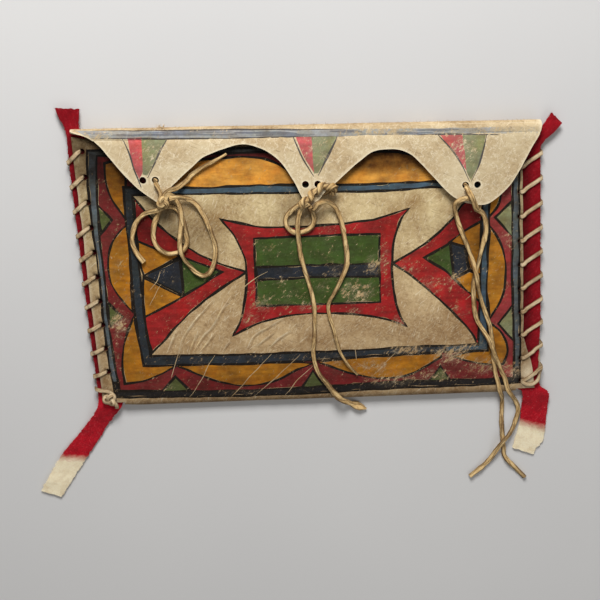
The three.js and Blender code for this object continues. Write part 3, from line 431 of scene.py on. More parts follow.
# Colours in sRGB, with how well each covers the hide
PALETTE = {
    "bare": (196, 170, 128, 0.0),
    # painted shade in a wrinkle's furrow and a painted highlight on its ridge
    "furrow": (132, 98, 64, 0.3),
    "ridge": (236, 218, 182, 0.6),
    "scratch": (222, 204, 168, 0.42),
    "ink": (17, 15, 16, 0.98),
    "slate": (74, 88, 98, 0.95),
    "night": (14, 19, 28, 0.97),
    "maroon": (110, 22, 32, 0.96),
    "rose": (141, 41, 50, 0.95),
    "yellow": (170, 112, 23, 0.96),
    # the arches' scallops: a lighter yellow, partly painted light from above
    "amber": (206, 144, 56, 0.95),
    "moss": (66, 82, 40, 0.93),
    "frame": (54, 82, 102, 0.95),
    "deep_frame": (26, 42, 56, 0.96),
    "red": (150, 23, 31, 0.97),
    "green": (48, 78, 28, 0.95),
    "blue": (11, 30, 48, 0.96),
    "stripe": (128, 152, 176, 0.6),
    "stroke": (62, 94, 130, 0.7),
    "pink": (184, 68, 84, 0.88),
    "sage": (114, 124, 90, 0.85),
    "line": (48, 54, 66, 0.9),
}


def linear(colour):
    """An sRGB colour of 0 to 255 as linear light."""
    shares = [value / 255 for value in colour[:3]]
    return [s / 12.92 if s <= 0.04045 else ((s + 0.055) / 1.055) ** 2.4 for s in shares]


def smoothstep(value, low, high):
    share = min(max((value - low) / (high - low), 0), 1)
    return share * share * (3 - 2 * share)


def lerp(a, b, share):
    return a + (b - a) * share


def rough(x, y, seed):
    """A smooth random value between -1 and 1."""
    return noise.noise(Vector((x, y, seed)))


# Curves and outlines
STEP = 2.0  # spacing of points along a painted edge
EDGE_STEP, LOBE_STEP, FLARE_STEP = 2.5, 1.5, 3.0  # and along the sheet's cut edge
EDGE_UNEVEN = 0.4  # how far the cut edge waves
CORNER = math.radians(36)  # a sharper turn than this stays a corner
MITRE_LIMIT = 0.35  # keeps the offset of a sharp corner short
UNEVEN_SIZE = 9.0  # length of the unevenness of a hand-drawn line
THIN_END = 0.35  # width of a drawn line's ends, as a share of its middle


def spline(points, step, power=0.5):
    """Points about every step along a Catmull-Rom curve through the given ones."""
    knots = np.array(points, float)
    if len(knots) == 2:
        count = max(1, round(np.linalg.norm(knots[1] - knots[0]) / step))
        return np.linspace(knots[0], knots[1], count + 1)
    knots = np.vstack([2 * knots[0] - knots[1], knots, 2 * knots[-1] - knots[-2]])
    line = [knots[1]]
    for a, b, c, d in zip(knots, knots[1:], knots[2:], knots[3:]):
        t1 = np.linalg.norm(b - a) ** power
        t2 = t1 + np.linalg.norm(c - b) ** power
        t3 = t2 + np.linalg.norm(d - c) ** power
        count = max(1, round(np.linalg.norm(c - b) / step))
        for t in np.linspace(t1, t2, count + 1)[1:]:
            ab = a + (b - a) * t / t1
            bc = b + (c - b) * (t - t1) / (t2 - t1)
            cd = c + (d - c) * (t - t2) / (t3 - t2)
            abc = ab + (bc - ab) * t / t2
            bcd = bc + (cd - bc) * (t - t1) / (t3 - t1)
            line.append(abc + (bcd - abc) * (t - t1) / (t2 - t1))
    return np.array(line)


def turns(points):
    """The change of direction at each point of a closed outline."""
    inward = points - np.roll(points, 1, axis=0)
    outward = np.roll(points, -1, axis=0) - points
    change = np.arctan2(outward[:, 1], outward[:, 0]) - np.arctan2(inward[:, 1], inward[:, 0])
    return np.abs((change + math.pi) % (2 * math.pi) - math.pi)


def outline(points):
    """A closed outline, smooth between its corners, running anticlockwise."""
    points = np.array(points, float)
    x, y = points.T
    if np.sum(x * np.roll(y, -1) - np.roll(x, -1) * y) < 0:
        points = points[::-1]
    count = len(points)
    corners = [i for i, turn in enumerate(turns(points)) if turn > CORNER] or [0]
    loop = []
    for first, last in zip(corners, corners[1:] + [corners[0] + count]):
        stretch = [points[k % count] for k in range(first, last + 1)]
        loop.extend(spline(stretch, STEP)[:-1])
    return np.array(loop)


def sideways(vectors):
    """Unit vectors turned a quarter to the right."""
    units = vectors / np.maximum(np.linalg.norm(vectors, axis=1), 1e-9)[:, None]
    return np.column_stack([units[:, 1], -units[:, 0]])


def offset(loop, distance):
    """An anticlockwise loop moved outward by a distance, mitred at its corners."""
    before = sideways(loop - np.roll(loop, 1, axis=0))
    after = sideways(np.roll(loop, -1, axis=0) - loop)
    spread = np.maximum(1 + np.sum(before * after, axis=1), MITRE_LIMIT)
    return loop + (before + after) * (distance / spread)[:, None]


def unevenness(loop, size, seed):
    """A smooth random value for each point, between minus and plus size."""
    return np.array([size * rough(x / UNEVEN_SIZE, y / UNEVEN_SIZE, seed) for x, y in loop])


def hand_drawn(loop, size=0.5):
    """A loop with the small unevenness of a hand-drawn line."""
    return loop + np.column_stack([unevenness(loop, size, 1.5), unevenness(loop, size, 8.5)])


def ribbon(points, width):
    """A thin closed shape along an open line, thinner towards its ends."""
    line = spline(points, STEP)
    side = sideways(np.gradient(line, axis=0))
    share = np.linspace(0, math.pi, len(line))
    taper = THIN_END + (1 - THIN_END) * np.sin(share)
    half = width / 2 * taper * (1 + unevenness(line, 0.5, 4.5))
    return np.vstack([line + side * half[:, None], (line - side * half[:, None])[::-1]])


def lengths_along(points):
    """The distance along a line to each of its points."""
    return np.concatenate([[0], np.cumsum(np.linalg.norm(np.diff(points, axis=0), axis=1))])


def nearest_tree(points):
    """A tree that finds the nearest of some flat points."""
    tree = KDTree(len(points))
    for index, point in enumerate(points):
        tree.insert((*point, 0), index)
    tree.balance()
    return tree


def circle(x, y, diameter, sides=16):
    angles = np.arange(sides) * 2 * math.pi / sides
    return np.column_stack([x + diameter / 2 * np.cos(angles), y + diameter / 2 * np.sin(angles)])


def inside(points, loop):
    """Whether each point lies inside a closed loop."""
    found = np.zeros(len(points), bool)
    low, high = loop.min(axis=0), loop.max(axis=0)
    near = np.flatnonzero(np.all((points >= low) & (points <= high), axis=1))
    x, y = points[near].T
    hit = np.zeros(len(near), bool)
    for (ax, ay), (bx, by) in zip(loop, np.roll(loop, -1, axis=0)):
        if ay != by:
            crossing = (ay > y) != (by > y)
            hit ^= crossing & (x < (bx - ax) * (y - ay) / (by - ay) + ax)
    found[near] = hit
    return found


# Meshes and materials
SHARP_EDGE = math.radians(50)


def new_object(name, vertices, faces, material):
    """A smooth-shaded object from points in millimetres."""
    mesh = bpy.data.meshes.new(name)
    mesh.from_pydata((np.array(vertices, float) * MM).tolist(), [], faces)
    mesh.shade_smooth()
    mesh.set_sharp_from_angle(angle=SHARP_EDGE)
    mesh.materials.append(material)
    obj = bpy.data.objects.new(name, mesh)
    bpy.context.scene.collection.objects.link(obj)
    return obj


def stand_for(obj, body, node):
    """Let an object move with a body in place of its node."""
    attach(obj, body)
    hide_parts(node)


def point_values(obj, name, values):
    attribute = obj.data.attributes.new(name, "FLOAT", "POINT")
    attribute.data.foreach_set("value", np.array(values, np.float32))


def point_vectors(obj, name, vectors):
    """Vectors in millimetres kept with each point in metres."""
    attribute = obj.data.attributes.new(name, "FLOAT_VECTOR", "POINT")
    attribute.data.foreach_set("vector", (np.array(vectors, np.float32) * MM).ravel())


class Finish:
    """A material with a short way to add its nodes."""

    def __init__(self, name, constants):
        self.material = bpy.data.materials.new(name)
        self.material.use_nodes = True
        self.tree = self.material.node_tree
        self.shader = self.tree.nodes["Principled BSDF"]
        for socket, value in constants.items():
            self.shader.inputs[socket].default_value = value

    def put(self, socket, value):
        if isinstance(value, bpy.types.NodeSocket):
            self.tree.links.new(value, socket)
        else:
            socket.default_value = value

    def node(self, kind, inputs, **settings):
        node = self.tree.nodes.new("ShaderNode" + kind)
        for key, value in settings.items():
            setattr(node, key, value)
        for key, value in inputs.items():
            self.put(node.inputs[key], value)
        return node

    def attribute(self, name, output):
        return self.node("Attribute", {}, attribute_name=name).outputs[output]

    def noise(self, vector, size, detail, roughness):
        """Noise whose largest features are about size millimetres across."""
        inputs = {"Vector": vector, "Scale": 1 / (size * MM), "Detail": detail, "Roughness": roughness}
        return self.node("TexNoise", inputs).outputs["Fac"]

    def drawn_out(self, vector, length, angle=0.0):
        """Coordinates that draw a texture out along one direction of the sheet."""
        inputs = {"Vector": vector, "Rotation": (0, 0, angle), "Scale": (length, 1, 1)}
        return self.node("Mapping", inputs, vector_type="TEXTURE").outputs["Vector"]

    def ramp(self, value, low, high, first=0.0, last=1.0):
        inputs = {"Value": value, "From Min": low, "From Max": high, "To Min": first, "To Max": last}
        return self.node("MapRange", inputs).outputs["Result"]

    def math(self, operation, a, b):
        return self.node("Math", {0: a, 1: b}, operation=operation).outputs[0]

    def times(self, a, b):
        return self.math("MULTIPLY", a, b)

    def plus(self, a, b):
        return self.math("ADD", a, b)

    def off_middle(self, value):
        """How far a noise lies from its middle: thin lines where that is small."""
        return self.math("ABSOLUTE", self.math("SUBTRACT", value, 0.5), 0)

    def mix(self, share, a, b, blend="MIX"):
        inputs = {0: share, 6: a, 7: b}
        return self.node("Mix", inputs, data_type="RGBA", blend_type=blend).outputs[2]

    def tint(self, colour, tone, value, low, high, most):
        """A colour mixed with an sRGB tone, up to most of it where the value nears high."""
        return self.mix(self.ramp(value, low, high, 0, most), colour, shade(tone))

    def bump(self, height, strength, distance):
        inputs = {"Height": height, "Strength": strength, "Distance": distance * MM}
        return self.node("Bump", inputs).outputs["Normal"]

    def finish(self, colour, roughness, normal):
        self.put(self.shader.inputs["Base Color"], colour)
        self.put(self.shader.inputs["Roughness"], roughness)
        self.put(self.shader.inputs["Normal"], normal)
        return self.material


def shade(colour, factor=1.0):
    """A node colour from an sRGB one, lighter or darker by a factor."""
    return [value * factor for value in linear(colour)] + [1.0]


LOWER_FRONT_SHADE = (55 * MM, 125 * MM)  # painted shade: the front darkens over this run, less lit towards the bottom
BLEACHED = ((RUN_TOP + 2) * MM, RUN_LOBES * MM)  # and the hide pales over this one


def bare_hide(f, flat, run, bleached, mottle, speck):
    """Stained rawhide with fine cracks; smoother, paler and veined where it is bleached."""
    blotch = f.noise(flat, 30, 7, 0.6)
    cased = f.mix(f.ramp(blotch, 0.34, 0.68), shade((216, 195, 148)), shade((160, 130, 86)))
    # painted shade: the lower front's bare hide is darker, as if less lit
    cased = f.mix(f.ramp(run, *LOWER_FRONT_SHADE), cased, (0.9, 0.81, 0.8, 1), "MULTIPLY")
    flapped = f.mix(f.ramp(blotch, 0.36, 0.7), shade((208, 190, 154)), shade((180, 154, 114)))
    hide = f.mix(bleached, cased, flapped)
    patchy = f.ramp(f.noise(flat, 13, 4, 0.6), 0.36, 0.64, 0.35, 1.15)
    grain = f.times(f.ramp(bleached, 0, 1, 0.95, 0.4), patchy)
    stain = (mottle, 0.48, 0.7, 0, 0.62), (146, 112, 74)
    fleck = (speck, 0.51, 0.66, 0, 0.45), (100, 72, 46)
    bright = (speck, 0.47, 0.34, 0, 0.42), (234, 218, 184)
    for spread, tone in (stain, fleck, bright):
        hide = f.mix(f.times(f.ramp(*spread), grain), hide, shade(tone))
    for angle, tone in ((-0.7, (238, 224, 192)), (0.4, (112, 84, 56)), (1.9, (240, 226, 196))):
        hair = f.noise(f.drawn_out(flat, 13, angle), 0.8, 4, 0.6)
        hide = f.tint(hide, tone, hair, 0.6, 0.68, 0.58)
    crack = f.off_middle(f.noise(flat, 14, 7, 0.72))
    cracked = f.times(f.ramp(crack, 0, 0.012, 0.6, 0), f.ramp(blotch, 0.4, 0.6))
    hide = f.mix(cracked, hide, shade((104, 78, 52)))
    vein = f.off_middle(f.noise(flat, 9, 5, 0.65))
    veined = f.times(f.ramp(vein, 0, 0.014, 0.6, 0), bleached)
    return f.mix(veined, hide, shade((240, 228, 200)))


def paint_coat(f, flat, paint, hide, wear, mottle, speck):
    """Thin paint laid on in strokes and washes, browned in patches and scuffed where it is worn."""
    stroke = f.ramp(f.noise(f.drawn_out(flat, 4), 3, 5, 0.65), 0.28, 0.72, 0.64, 1.24)
    wash = f.ramp(f.noise(flat, 18, 4, 0.6), 0.32, 0.68, 0.74, 1.24)
    coat = f.mix(1.0, paint, f.times(stroke, wash), "MULTIPLY")
    yellowed = f.mix(1.0, coat, (1.4, 1.25, 0.85, 1), "MULTIPLY")
    coat = f.mix(f.ramp(f.noise(flat, 15, 5, 0.62), 0.46, 0.66, 0, 0.7), coat, yellowed)
    browned = f.mix(1.0, coat, (0.66, 0.5, 0.42, 1), "MULTIPLY")
    coat = f.mix(f.ramp(f.noise(flat, 10, 6, 0.66), 0.42, 0.7, 0, 0.8), coat, browned)
    coat = f.mix(f.ramp(speck, 0.54, 0.7, 0, 0.45), coat, browned)
    coat = f.mix(f.ramp(speck, 0.4, 0.28, 0, 0.1), coat, hide)
    rubbed = f.times(f.ramp(wear, 0.2, 0.9), f.ramp(mottle, 0.42, 0.62))
    for angle in (-0.9, -0.4, 0.5):
        scuff = f.ramp(f.noise(f.drawn_out(flat, 10, angle), 1.0, 4, 0.6), 0.57, 0.65, 0, 0.85)
        coat = f.mix(f.times(scuff, rubbed), coat, shade((214, 196, 164)))
    return f.mix(f.times(rubbed, 0.3), coat, shade((176, 156, 128)))


def painted_rawhide():
    """Mottled rawhide under thin, worn paint, with painted shade and highlights; the flap is paler than
    the case.
    """
    f = Finish("painted_rawhide", {"Specular IOR Level": 0.12})
    flat = f.attribute("flat", "Vector")
    wear = f.attribute("wear", "Fac")
    soil_and_shade = f.attribute("soil_and_shade", "Fac")
    paint = f.node("Attribute", {}, attribute_name="paint")
    run = f.node("SeparateXYZ", {"Vector": flat}).outputs["Y"]
    bleached = f.ramp(run, *BLEACHED)
    mottle = f.noise(flat, 5, 6, 0.68)
    speck = f.noise(flat, 1.5, 5, 0.75)
    hide = bare_hide(f, flat, run, bleached, mottle, speck)
    # painted highlight along the cut edges and tie holes, with the pale of rubbed patches, held back where
    # painted shade lies
    rim = f.times(f.attribute("rim", "Fac"), f.math("SUBTRACT", 1.0, soil_and_shade))
    hide = f.tint(hide, (236, 222, 190), rim, 0.15, 1, 0.7)
    coat = paint_coat(f, flat, paint.outputs["Color"], hide, wear, mottle, speck)
    chips = f.noise(f.drawn_out(flat, 2.2, -0.8), 1.8, 8, 0.78)
    flake = f.plus(chips, f.times(wear, 0.19))
    cover = f.times(paint.outputs["Alpha"], f.ramp(flake, 0.62, 0.69, 1, 0))
    colour = f.mix(cover, hide, coat)
    # soil and painted shade darken hide and paint towards a dark brown
    dirt_and_shade = f.times(soil_and_shade, f.ramp(mottle, 0.3, 0.7, 0.8, 1))
    colour = f.mix(dirt_and_shade, colour, (0.1, 0.07, 0.05, 1), "MULTIPLY")
    swell = f.times(f.noise(flat, 9, 6, 0.6), 1.5)
    relief = f.plus(f.plus(swell, f.times(cover, 0.16)), f.times(speck, 0.5))
    return f.finish(colour, f.ramp(mottle, 0.3, 0.7, 0.5, 0.7), f.bump(relief, 0.5, 0.5))


def dyed_wool():
    """Felted red wool, with its edge left white and painted shade where the case holds it."""
    f = Finish("dyed_wool", {
        "Sheen Weight": 0.12, "Sheen Roughness": 0.5, "Sheen Tint": (1.0, 0.7, 0.65, 1.0),
        "Specular IOR Level": 0.06,
    })
    flat = f.attribute("flat", "Vector")
    felt = f.noise(flat, 0.9, 6, 0.78)
    cloud = f.noise(flat, 7, 5, 0.62)
    twill = f.noise(f.drawn_out(flat, 5, 0.8), 0.8, 3, 0.6)
    red = f.mix(f.ramp(felt, 0.3, 0.7), shade((148, 10, 24)), shade((204, 28, 44)))
    red = f.tint(red, (118, 8, 20), cloud, 0.4, 0.72, 0.6)
    red = f.tint(red, (214, 64, 74), twill, 0.56, 0.72, 0.6)
    red = f.tint(red, (84, 4, 12), felt, 0.42, 0.3, 0.7)
    red = f.tint(red, (226, 130, 128), f.noise(flat, 1.6, 4, 0.7), 0.62, 0.72, 0.5)
    white = f.mix(f.ramp(felt, 0.3, 0.7), shade((240, 220, 178)), shade((255, 246, 218)))
    white = f.tint(white, (206, 178, 134), cloud, 0.45, 0.75, 0.6)
    edge = f.plus(f.attribute("dye", "Fac"), f.ramp(f.noise(flat, 2.5, 5, 0.7), 0, 1, -0.2, 0.2))
    colour = f.mix(f.ramp(edge, 0.22, 0.78), red, white)
    # painted shade in the seams, on the tabs and under the holes
    colour = f.mix(f.attribute("soil_and_shade", "Fac"), colour, (0.06, 0.04, 0.04, 1), "MULTIPLY")
    return f.finish(colour, 0.95, f.bump(felt, 0.9, 0.6))


def soft_hide(name, pale, middle, dark, grain):
    """Hide strap with streaks along it and stains, and painted shade along its edges and in its crease."""
    f = Finish(name, {"Specular IOR Level": 0.12})
    flat = f.attribute("flat", "Vector")
    streak = f.noise(f.drawn_out(flat, 7), 1.2, 5, 0.7)
    stain = f.noise(flat, 12, 5, 0.65)
    pore = f.noise(f.drawn_out(flat, 2), 0.8, 4, 0.7)
    colour = f.mix(f.ramp(streak, 0.38, 0.6), shade(middle), shade(pale))
    colour = f.tint(colour, dark, streak, 0.42, 0.3, 0.7)
    colour = f.tint(colour, dark, stain, 0.5, 0.7, 0.7)
    colour = f.mix(f.ramp(pore, 0.56, 0.74, 0, 0.6), colour, shade(dark, 0.7))
    # painted shade along the strap's sides and in its crease
    edge = f.plus(f.attribute("side", "Fac"), f.ramp(streak, 0.3, 0.7, -0.1, 0.1))
    colour = f.mix(f.ramp(edge, 0.6, 0.98, 0, 0.85), colour, shade(dark, 0.8))
    relief = f.plus(f.times(streak, 1.3), f.times(pore, 0.7))
    return f.finish(colour, 0.8, f.bump(relief, grain, 0.6))


RAWHIDE_FINISH = painted_rawhide()
WOOL_FINISH = dyed_wool()
LACE_FINISH = soft_hide("lace_hide", (214, 192, 156), (176, 148, 110), (108, 80, 54), 0.6)
THONG_FINISH = soft_hide("buckskin", (228, 197, 142), (184, 147, 94), (96, 66, 40), 0.8)


# The rawhide sheet
def on_front(points):
    """Points of the front panel, given by x and y, by x and run."""
    return [(x, FRONT_EDGE_Y - y) for x, y in points]


def on_back(points):
    return [(x, RUN_BACK + y - BOTTOM_FOLD_Y) for x, y in points]


def on_flap(points):
    return [(x, RUN_FLAP + FOLD_Y - y) for x, y in points]


def back_under(x):
    """Height of the back panel's underside."""
    left = 1 - smoothstep(x, SEAM_START, SEAM_START + SEAM_RAMP)
    right = smoothstep(x, SEAM_END - SEAM_RAMP, SEAM_END)
    return SEAM_LIFT * max(left, right)


def front_top(x, y):
    """Height of the front panel's painted face."""
    t = min(max((x - SEAM_START) / (SEAM_END - SEAM_START), 0), 1)
    swell_x = 1 - abs(2 * t - 1) ** SWELL_POWER
    if y < 0:
        swell_y = 1 - (y / BOTTOM_FOLD_Y) ** 2
    else:
        swell_y = 1 - (1 - MOUTH_SLACK) * (y / FRONT_EDGE_Y) ** 2
    return SEAM_TOP + BULGE * swell_x * max(swell_y, 0)


def flap_top(x, y):
    """Height of the flap's outer face."""
    reach = max((FOLD_Y - y - FLAP_LEAD) / (LOBE_REACH - FLAP_LEAD), 0)
    lobe_top = front_top(x, FOLD_Y - LOBE_REACH) + LOBE_GAP + RAWHIDE
    return TOP_FOLD_HEIGHT + (lobe_top - TOP_FOLD_HEIGHT) * reach ** LIFT_POWER


def hide_middle(x, run):
    """A point midway through the sheet's thickness."""
    back = back_under(x) + RAWHIDE / 2
    if run < RUN_BOTTOM:
        y = FRONT_EDGE_Y - run
        return Vector((x, y, front_top(x, y) - RAWHIDE / 2))
    if run < RUN_BACK:
        front = front_top(x, BOTTOM_FOLD_Y) - RAWHIDE / 2
        radius = (front - back) / 2
        turn = (run - RUN_BOTTOM) / BOTTOM_FOLD_RUN * math.pi
        z = (front + back) / 2 + radius * math.cos(turn)
        return Vector((x, BOTTOM_FOLD_Y - radius * math.sin(turn), z))
    if run < RUN_TOP:
        return Vector((x, BOTTOM_FOLD_Y + run - RUN_BACK, back))
    if run < RUN_FLAP:
        top = TOP_FOLD_HEIGHT - RAWHIDE / 2
        turn = (run - RUN_TOP) / TOP_FOLD_RUN * math.pi
        y = FOLD_Y + (TOP_FOLD_DEPTH - RAWHIDE / 2) * math.sin(turn)
        return Vector((x, y, (top + back) / 2 - (top - back) / 2 * math.cos(turn)))
    y = FOLD_Y - (run - RUN_FLAP)
    return Vector((x, y, flap_top(x, y) - RAWHIDE / 2))


RIDGE_PLACE = 1.5 * WRINKLE  # from the furrow to the ridge beside it
WRINKLE_REACH = 4 * WRINKLE
WRINKLE_STEP = 0.5
CASE_DENT, FLAP_DENT = 0.55, 0.16  # depth of the hollows
DENT_CLEAR = 18  # they fade out over this distance from the laced ends
HOLLOW_SIZE, RIPPLE_SIZE = 34, 9
HOLLOW_SHARE = 0.75


def wrinkle_lines():
    """A tree of points along the wrinkles, with each point's sideways direction and strength."""
    places, sides = [], []
    for points in WRINKLES:
        line = spline(on_front(points), WRINKLE_STEP)
        strength = np.sin(np.linspace(0, math.pi, len(line))) ** 0.5
        places.extend(line)
        sides.extend(np.column_stack([sideways(np.gradient(line, axis=0)), strength]))
    return nearest_tree(places), sides


WRINKLE_TREE, WRINKLE_SIDES = wrinkle_lines()


def wrinkle_depth(x, run):
    """How far a furrow lies below the hide; less than 0 on the ridge beside it."""
    nearest, index, distance = WRINKLE_TREE.find((x, run, 0))
    if distance > WRINKLE_REACH:
        return 0
    side_x, side_run, strength = WRINKLE_SIDES[index]
    out = (x - nearest.x) * side_x + (run - nearest.y) * side_run
    furrow = math.exp(-(out / WRINKLE) ** 2)
    ridge = math.exp(-((out - RIDGE_PLACE) / WRINKLE) ** 2)
    return WRINKLE_DEPTH * strength * (furrow - ridge)


def dent(x, run):
    """How far the hide lies below its even surface: gentle hollows, none at the laced ends."""
    clear = min(max(min(x - SEAM_START, SEAM_END - x) / DENT_CLEAR, 0), 1)
    depth = FLAP_DENT if run > RUN_CREASE else CASE_DENT
    hollow = 0.5 + 0.5 * rough(x / HOLLOW_SIZE, run / HOLLOW_SIZE, 3.0)
    ripple = 0.5 + 0.5 * rough(x / RIPPLE_SIZE, run / RIPPLE_SIZE, 7.0)
    mixed = HOLLOW_SHARE * hollow + (1 - HOLLOW_SHARE) * ripple
    return clear * depth * mixed + wrinkle_depth(x, run)


PROBE = 0.01  # distance to each side at which the sheet's direction is read


def hide_layers(x, run):
    """The sheet's outer and inner points."""
    along = hide_middle(x + PROBE, run) - hide_middle(x - PROBE, run)
    down = hide_middle(x, run + PROBE) - hide_middle(x, run - PROBE)
    normal = down.cross(along).normalized()
    middle = hide_middle(x, run) - normal * dent(x, run)
    layers = []
    for point in (middle + normal * RAWHIDE / 2, middle - normal * RAWHIDE / 2):
        layers.append((point.x + LEAN * point.y, point.y, point.z))
    return layers


def straight(corners):
    """The straight stretches of a cut edge from corner to corner."""
    return [spline(stretch, EDGE_STEP) for stretch in zip(corners, corners[1:])]


def sheet_edge():
    """The cut edge of the whole sheet, drawn flat."""
    slit_first, slit_last = (RUN_TOP + run for run in SLIT)
    lobes = spline(on_flap(FLAP_EDGE), LOBE_STEP, power=0)
    left_end = [
        (LEFT, -CORNER_RISE), (LEFT, RUN_BOTTOM), (NOTCH_LEFT, RUN_BOTTOM), (NOTCH_LEFT, RUN_BACK),
        (LEFT, RUN_BACK), (LEFT, slit_first), (SLIT_END, slit_first), (SLIT_END, slit_last),
        (LEFT, slit_last), lobes[0],
    ]
    right_end = [
        (RIGHT, RUN_FLAP), (RIGHT, RUN_BACK), (NOTCH_RIGHT, RUN_BACK), (NOTCH_RIGHT, RUN_BOTTOM),
        (TRIM_EDGE + FLARE_WIDTH, RUN_BOTTOM),
    ]
    flare = [(TRIM_EDGE + FLARE_WIDTH * wide, BOTTOM + FLARE_HEIGHT * high) for wide, high in FLARE]
    flare = spline(on_front([*flare, (TRIM_EDGE + FLARE_WIDTH, BOTTOM_FOLD_Y)]), FLARE_STEP)[::-1]
    mouth = [(TRIM_EDGE, FRONT_EDGE_Y - BOTTOM - FLARE_HEIGHT), (TRIM_EDGE, 0), (CORNER_START, 0)]
    halfway = (lerp(CORNER_START, LEFT, 0.5), -CORNER_RISE * 0.7)
    corner = spline([(CORNER_START, 0), halfway, (LEFT, -CORNER_RISE)], EDGE_STEP)
    stretches = [*straight(left_end), lobes, *straight(right_end), flare, *straight(mouth), corner]
    loop = np.vstack([stretch[:-1] for stretch in stretches])
    return hand_drawn(loop[::-1], EDGE_UNEVEN)


def hole_edges():
    """Lacing holes through the front and the back, and the tie holes in the flap."""
    lacing_holes, tie_holes = [], []
    for side, diameter in HOLE_DIAMETER.items():
        for y in HOLE_ROWS:
            for place in (on_front, on_back):
                lacing_holes += [circle(*spot, diameter) for spot in place([(HOLE_X[side], y)])]
    for x, y in TIE_HOLES:
        pair = [(x - TIE_HOLE_SPACING / 2, y), (x + TIE_HOLE_SPACING / 2, y)]
        tie_holes += [circle(*spot, TIE_HOLE_DIAMETER, 20) for spot in on_flap(pair)]
    return lacing_holes, tie_holes


def outlined(fields):
    """Painted fields of the front, the dark line round each and bare slivers where they don't meet."""
    layers = []
    for colour, points in fields:
        loop = outline(hand_drawn(outline(on_front(points))))
        width = LINE / 2 * (1 + unevenness(loop, LINE_UNEVEN, 2.5))
        sliver = np.maximum(unevenness(loop, SLIVER, 6.5) - 0.25 * SLIVER, 0)
        layers.append(("ink", offset(loop, width)))
        layers.append(("bare", offset(loop, -width)))
        layers.append((colour, offset(loop, -width - sliver)))
    return layers


def drawn_lines(colour, lines, place, width, size):
    """Single strokes, uneven by up to a size."""
    return [(colour, hand_drawn(ribbon(place(points), width), size)) for points in lines]


def wrinkles():
    """Painted shade along each wrinkle's furrow, beside a painted highlight along its ridge."""
    layers = []
    for points in WRINKLES:
        line = spline(on_front(points), STEP)
        beside = line + sideways(np.gradient(line, axis=0)) * RIDGE_PLACE
        layers.append(("furrow", hand_drawn(ribbon(line, WRINKLE))))
        layers.append(("ridge", hand_drawn(ribbon(beside, WRINKLE))))
    return layers


def paint_layers():
    """The painted shapes from the lowest to the topmost."""
    layers = outlined([("slate", BAND_OUTSIDE), ("night", FOOT_BAND), ("maroon", BAND_INSIDE)])
    layers += [("rose", outline(on_front(ROSE)))]
    layers += outlined(BORDER)
    layers += outlined([("frame", FRAME_OUTSIDE), ("deep_frame", DEEP_FRAME), ("bare", FRAME_INSIDE)])
    layers += wrinkles()
    layers += outlined(FIELD)
    layers += drawn_lines("scratch", SCRATCHES, on_front, SCRATCH, 0.8)
    layers += [(colour, hand_drawn(outline(on_flap(points)))) for colour, points in FLAP_FIELDS]
    layers += drawn_lines("stroke", STROKES, on_flap, STROKE, 0.5)
    layers += drawn_lines("line", FLAP_LINES, on_flap, FLAP_LINE, 0.3)
    return layers


RUN_END = RUN_FLAP + 56  # past the lobes' tips
# Points inside the sheet: (first run, last run, spacing along the run, spacing across)
GRID = [
    (-CORNER_RISE, RUN_BOTTOM, 3.0, 3.0), (RUN_BOTTOM, RUN_BACK, 0.9, 5.0), (RUN_BACK, RUN_TOP, 6.0, 6.0),
    (RUN_TOP, RUN_FLAP, 0.9, 5.0), (RUN_FLAP, RUN_END, 2.2, 2.6),
]
GRID_MARGIN = 0.9  # kept clear inside the cut edge


def sheet_grid(edge):
    """Points inside the sheet, closer together where it bends."""
    points = []
    for first, last, row, column in GRID:
        runs = np.linspace(first, last, round((last - first) / row) + 1)
        across = np.linspace(LEFT, RIGHT, round((RIGHT - LEFT) / column) + 1)
        points.extend((x, run) for run in runs for x in across)
    points = np.array(points)
    return points[inside(points, offset(edge, -GRID_MARGIN))]


# Wear, soil and painted shade
EVEN_WEAR, PATCHY_WEAR, PATCH_SIZE = 0.1, 0.3, 16
INNER_SOIL = 0.25
BACK_SOIL = 0.2
# painted shade on the bottom fold, which faces away from the light
BOTTOM_FOLD_SHADE = 0.55
BEND_SHADE = 0.6  # painted shade at the left end of the bend, where the fold's end is in shadow
# painted shade beside the flap's left edge and under its left corner
BESIDE_FLAP_SHADE = 0.88
CORNER_SHADE = 0.95
# darker at the laced ends and along the foot
LEFT_END_DARKENING, RIGHT_END_DARKENING = 0.32, 0.55
FOOT_DARKENING = 0.4
FALLOFF_SHADE = 0.12  # painted shade over the lower front, darker towards the bottom


def strongest(patches, x, y):
    """The most that any patch of (x, y, half width, half height, strength) reaches at a point."""
    shares = []
    for px, py, half_width, half_height, strength in patches:
        far = ((x - px) / half_width) ** 2 + ((y - py) / half_height) ** 2
        shares.append(strength * math.exp(-far))
    return max(shares)


def wear_at(x, run):
    """How worn the paint is, from 0 to 1."""
    base = EVEN_WEAR + PATCHY_WEAR * rough(x / PATCH_SIZE, run / PATCH_SIZE, 4.0)
    if run < RUN_BOTTOM:
        return max(base, strongest(WORN, x, FRONT_EDGE_Y - run))
    return max(base, strongest(FLAP_WORN, x, FOLD_Y - (run - RUN_FLAP)))


def pale_at(x, run):
    """How pale the front is rubbed, from 0 to 1."""
    return strongest(RUBBED_PALE, x, FRONT_EDGE_Y - run)


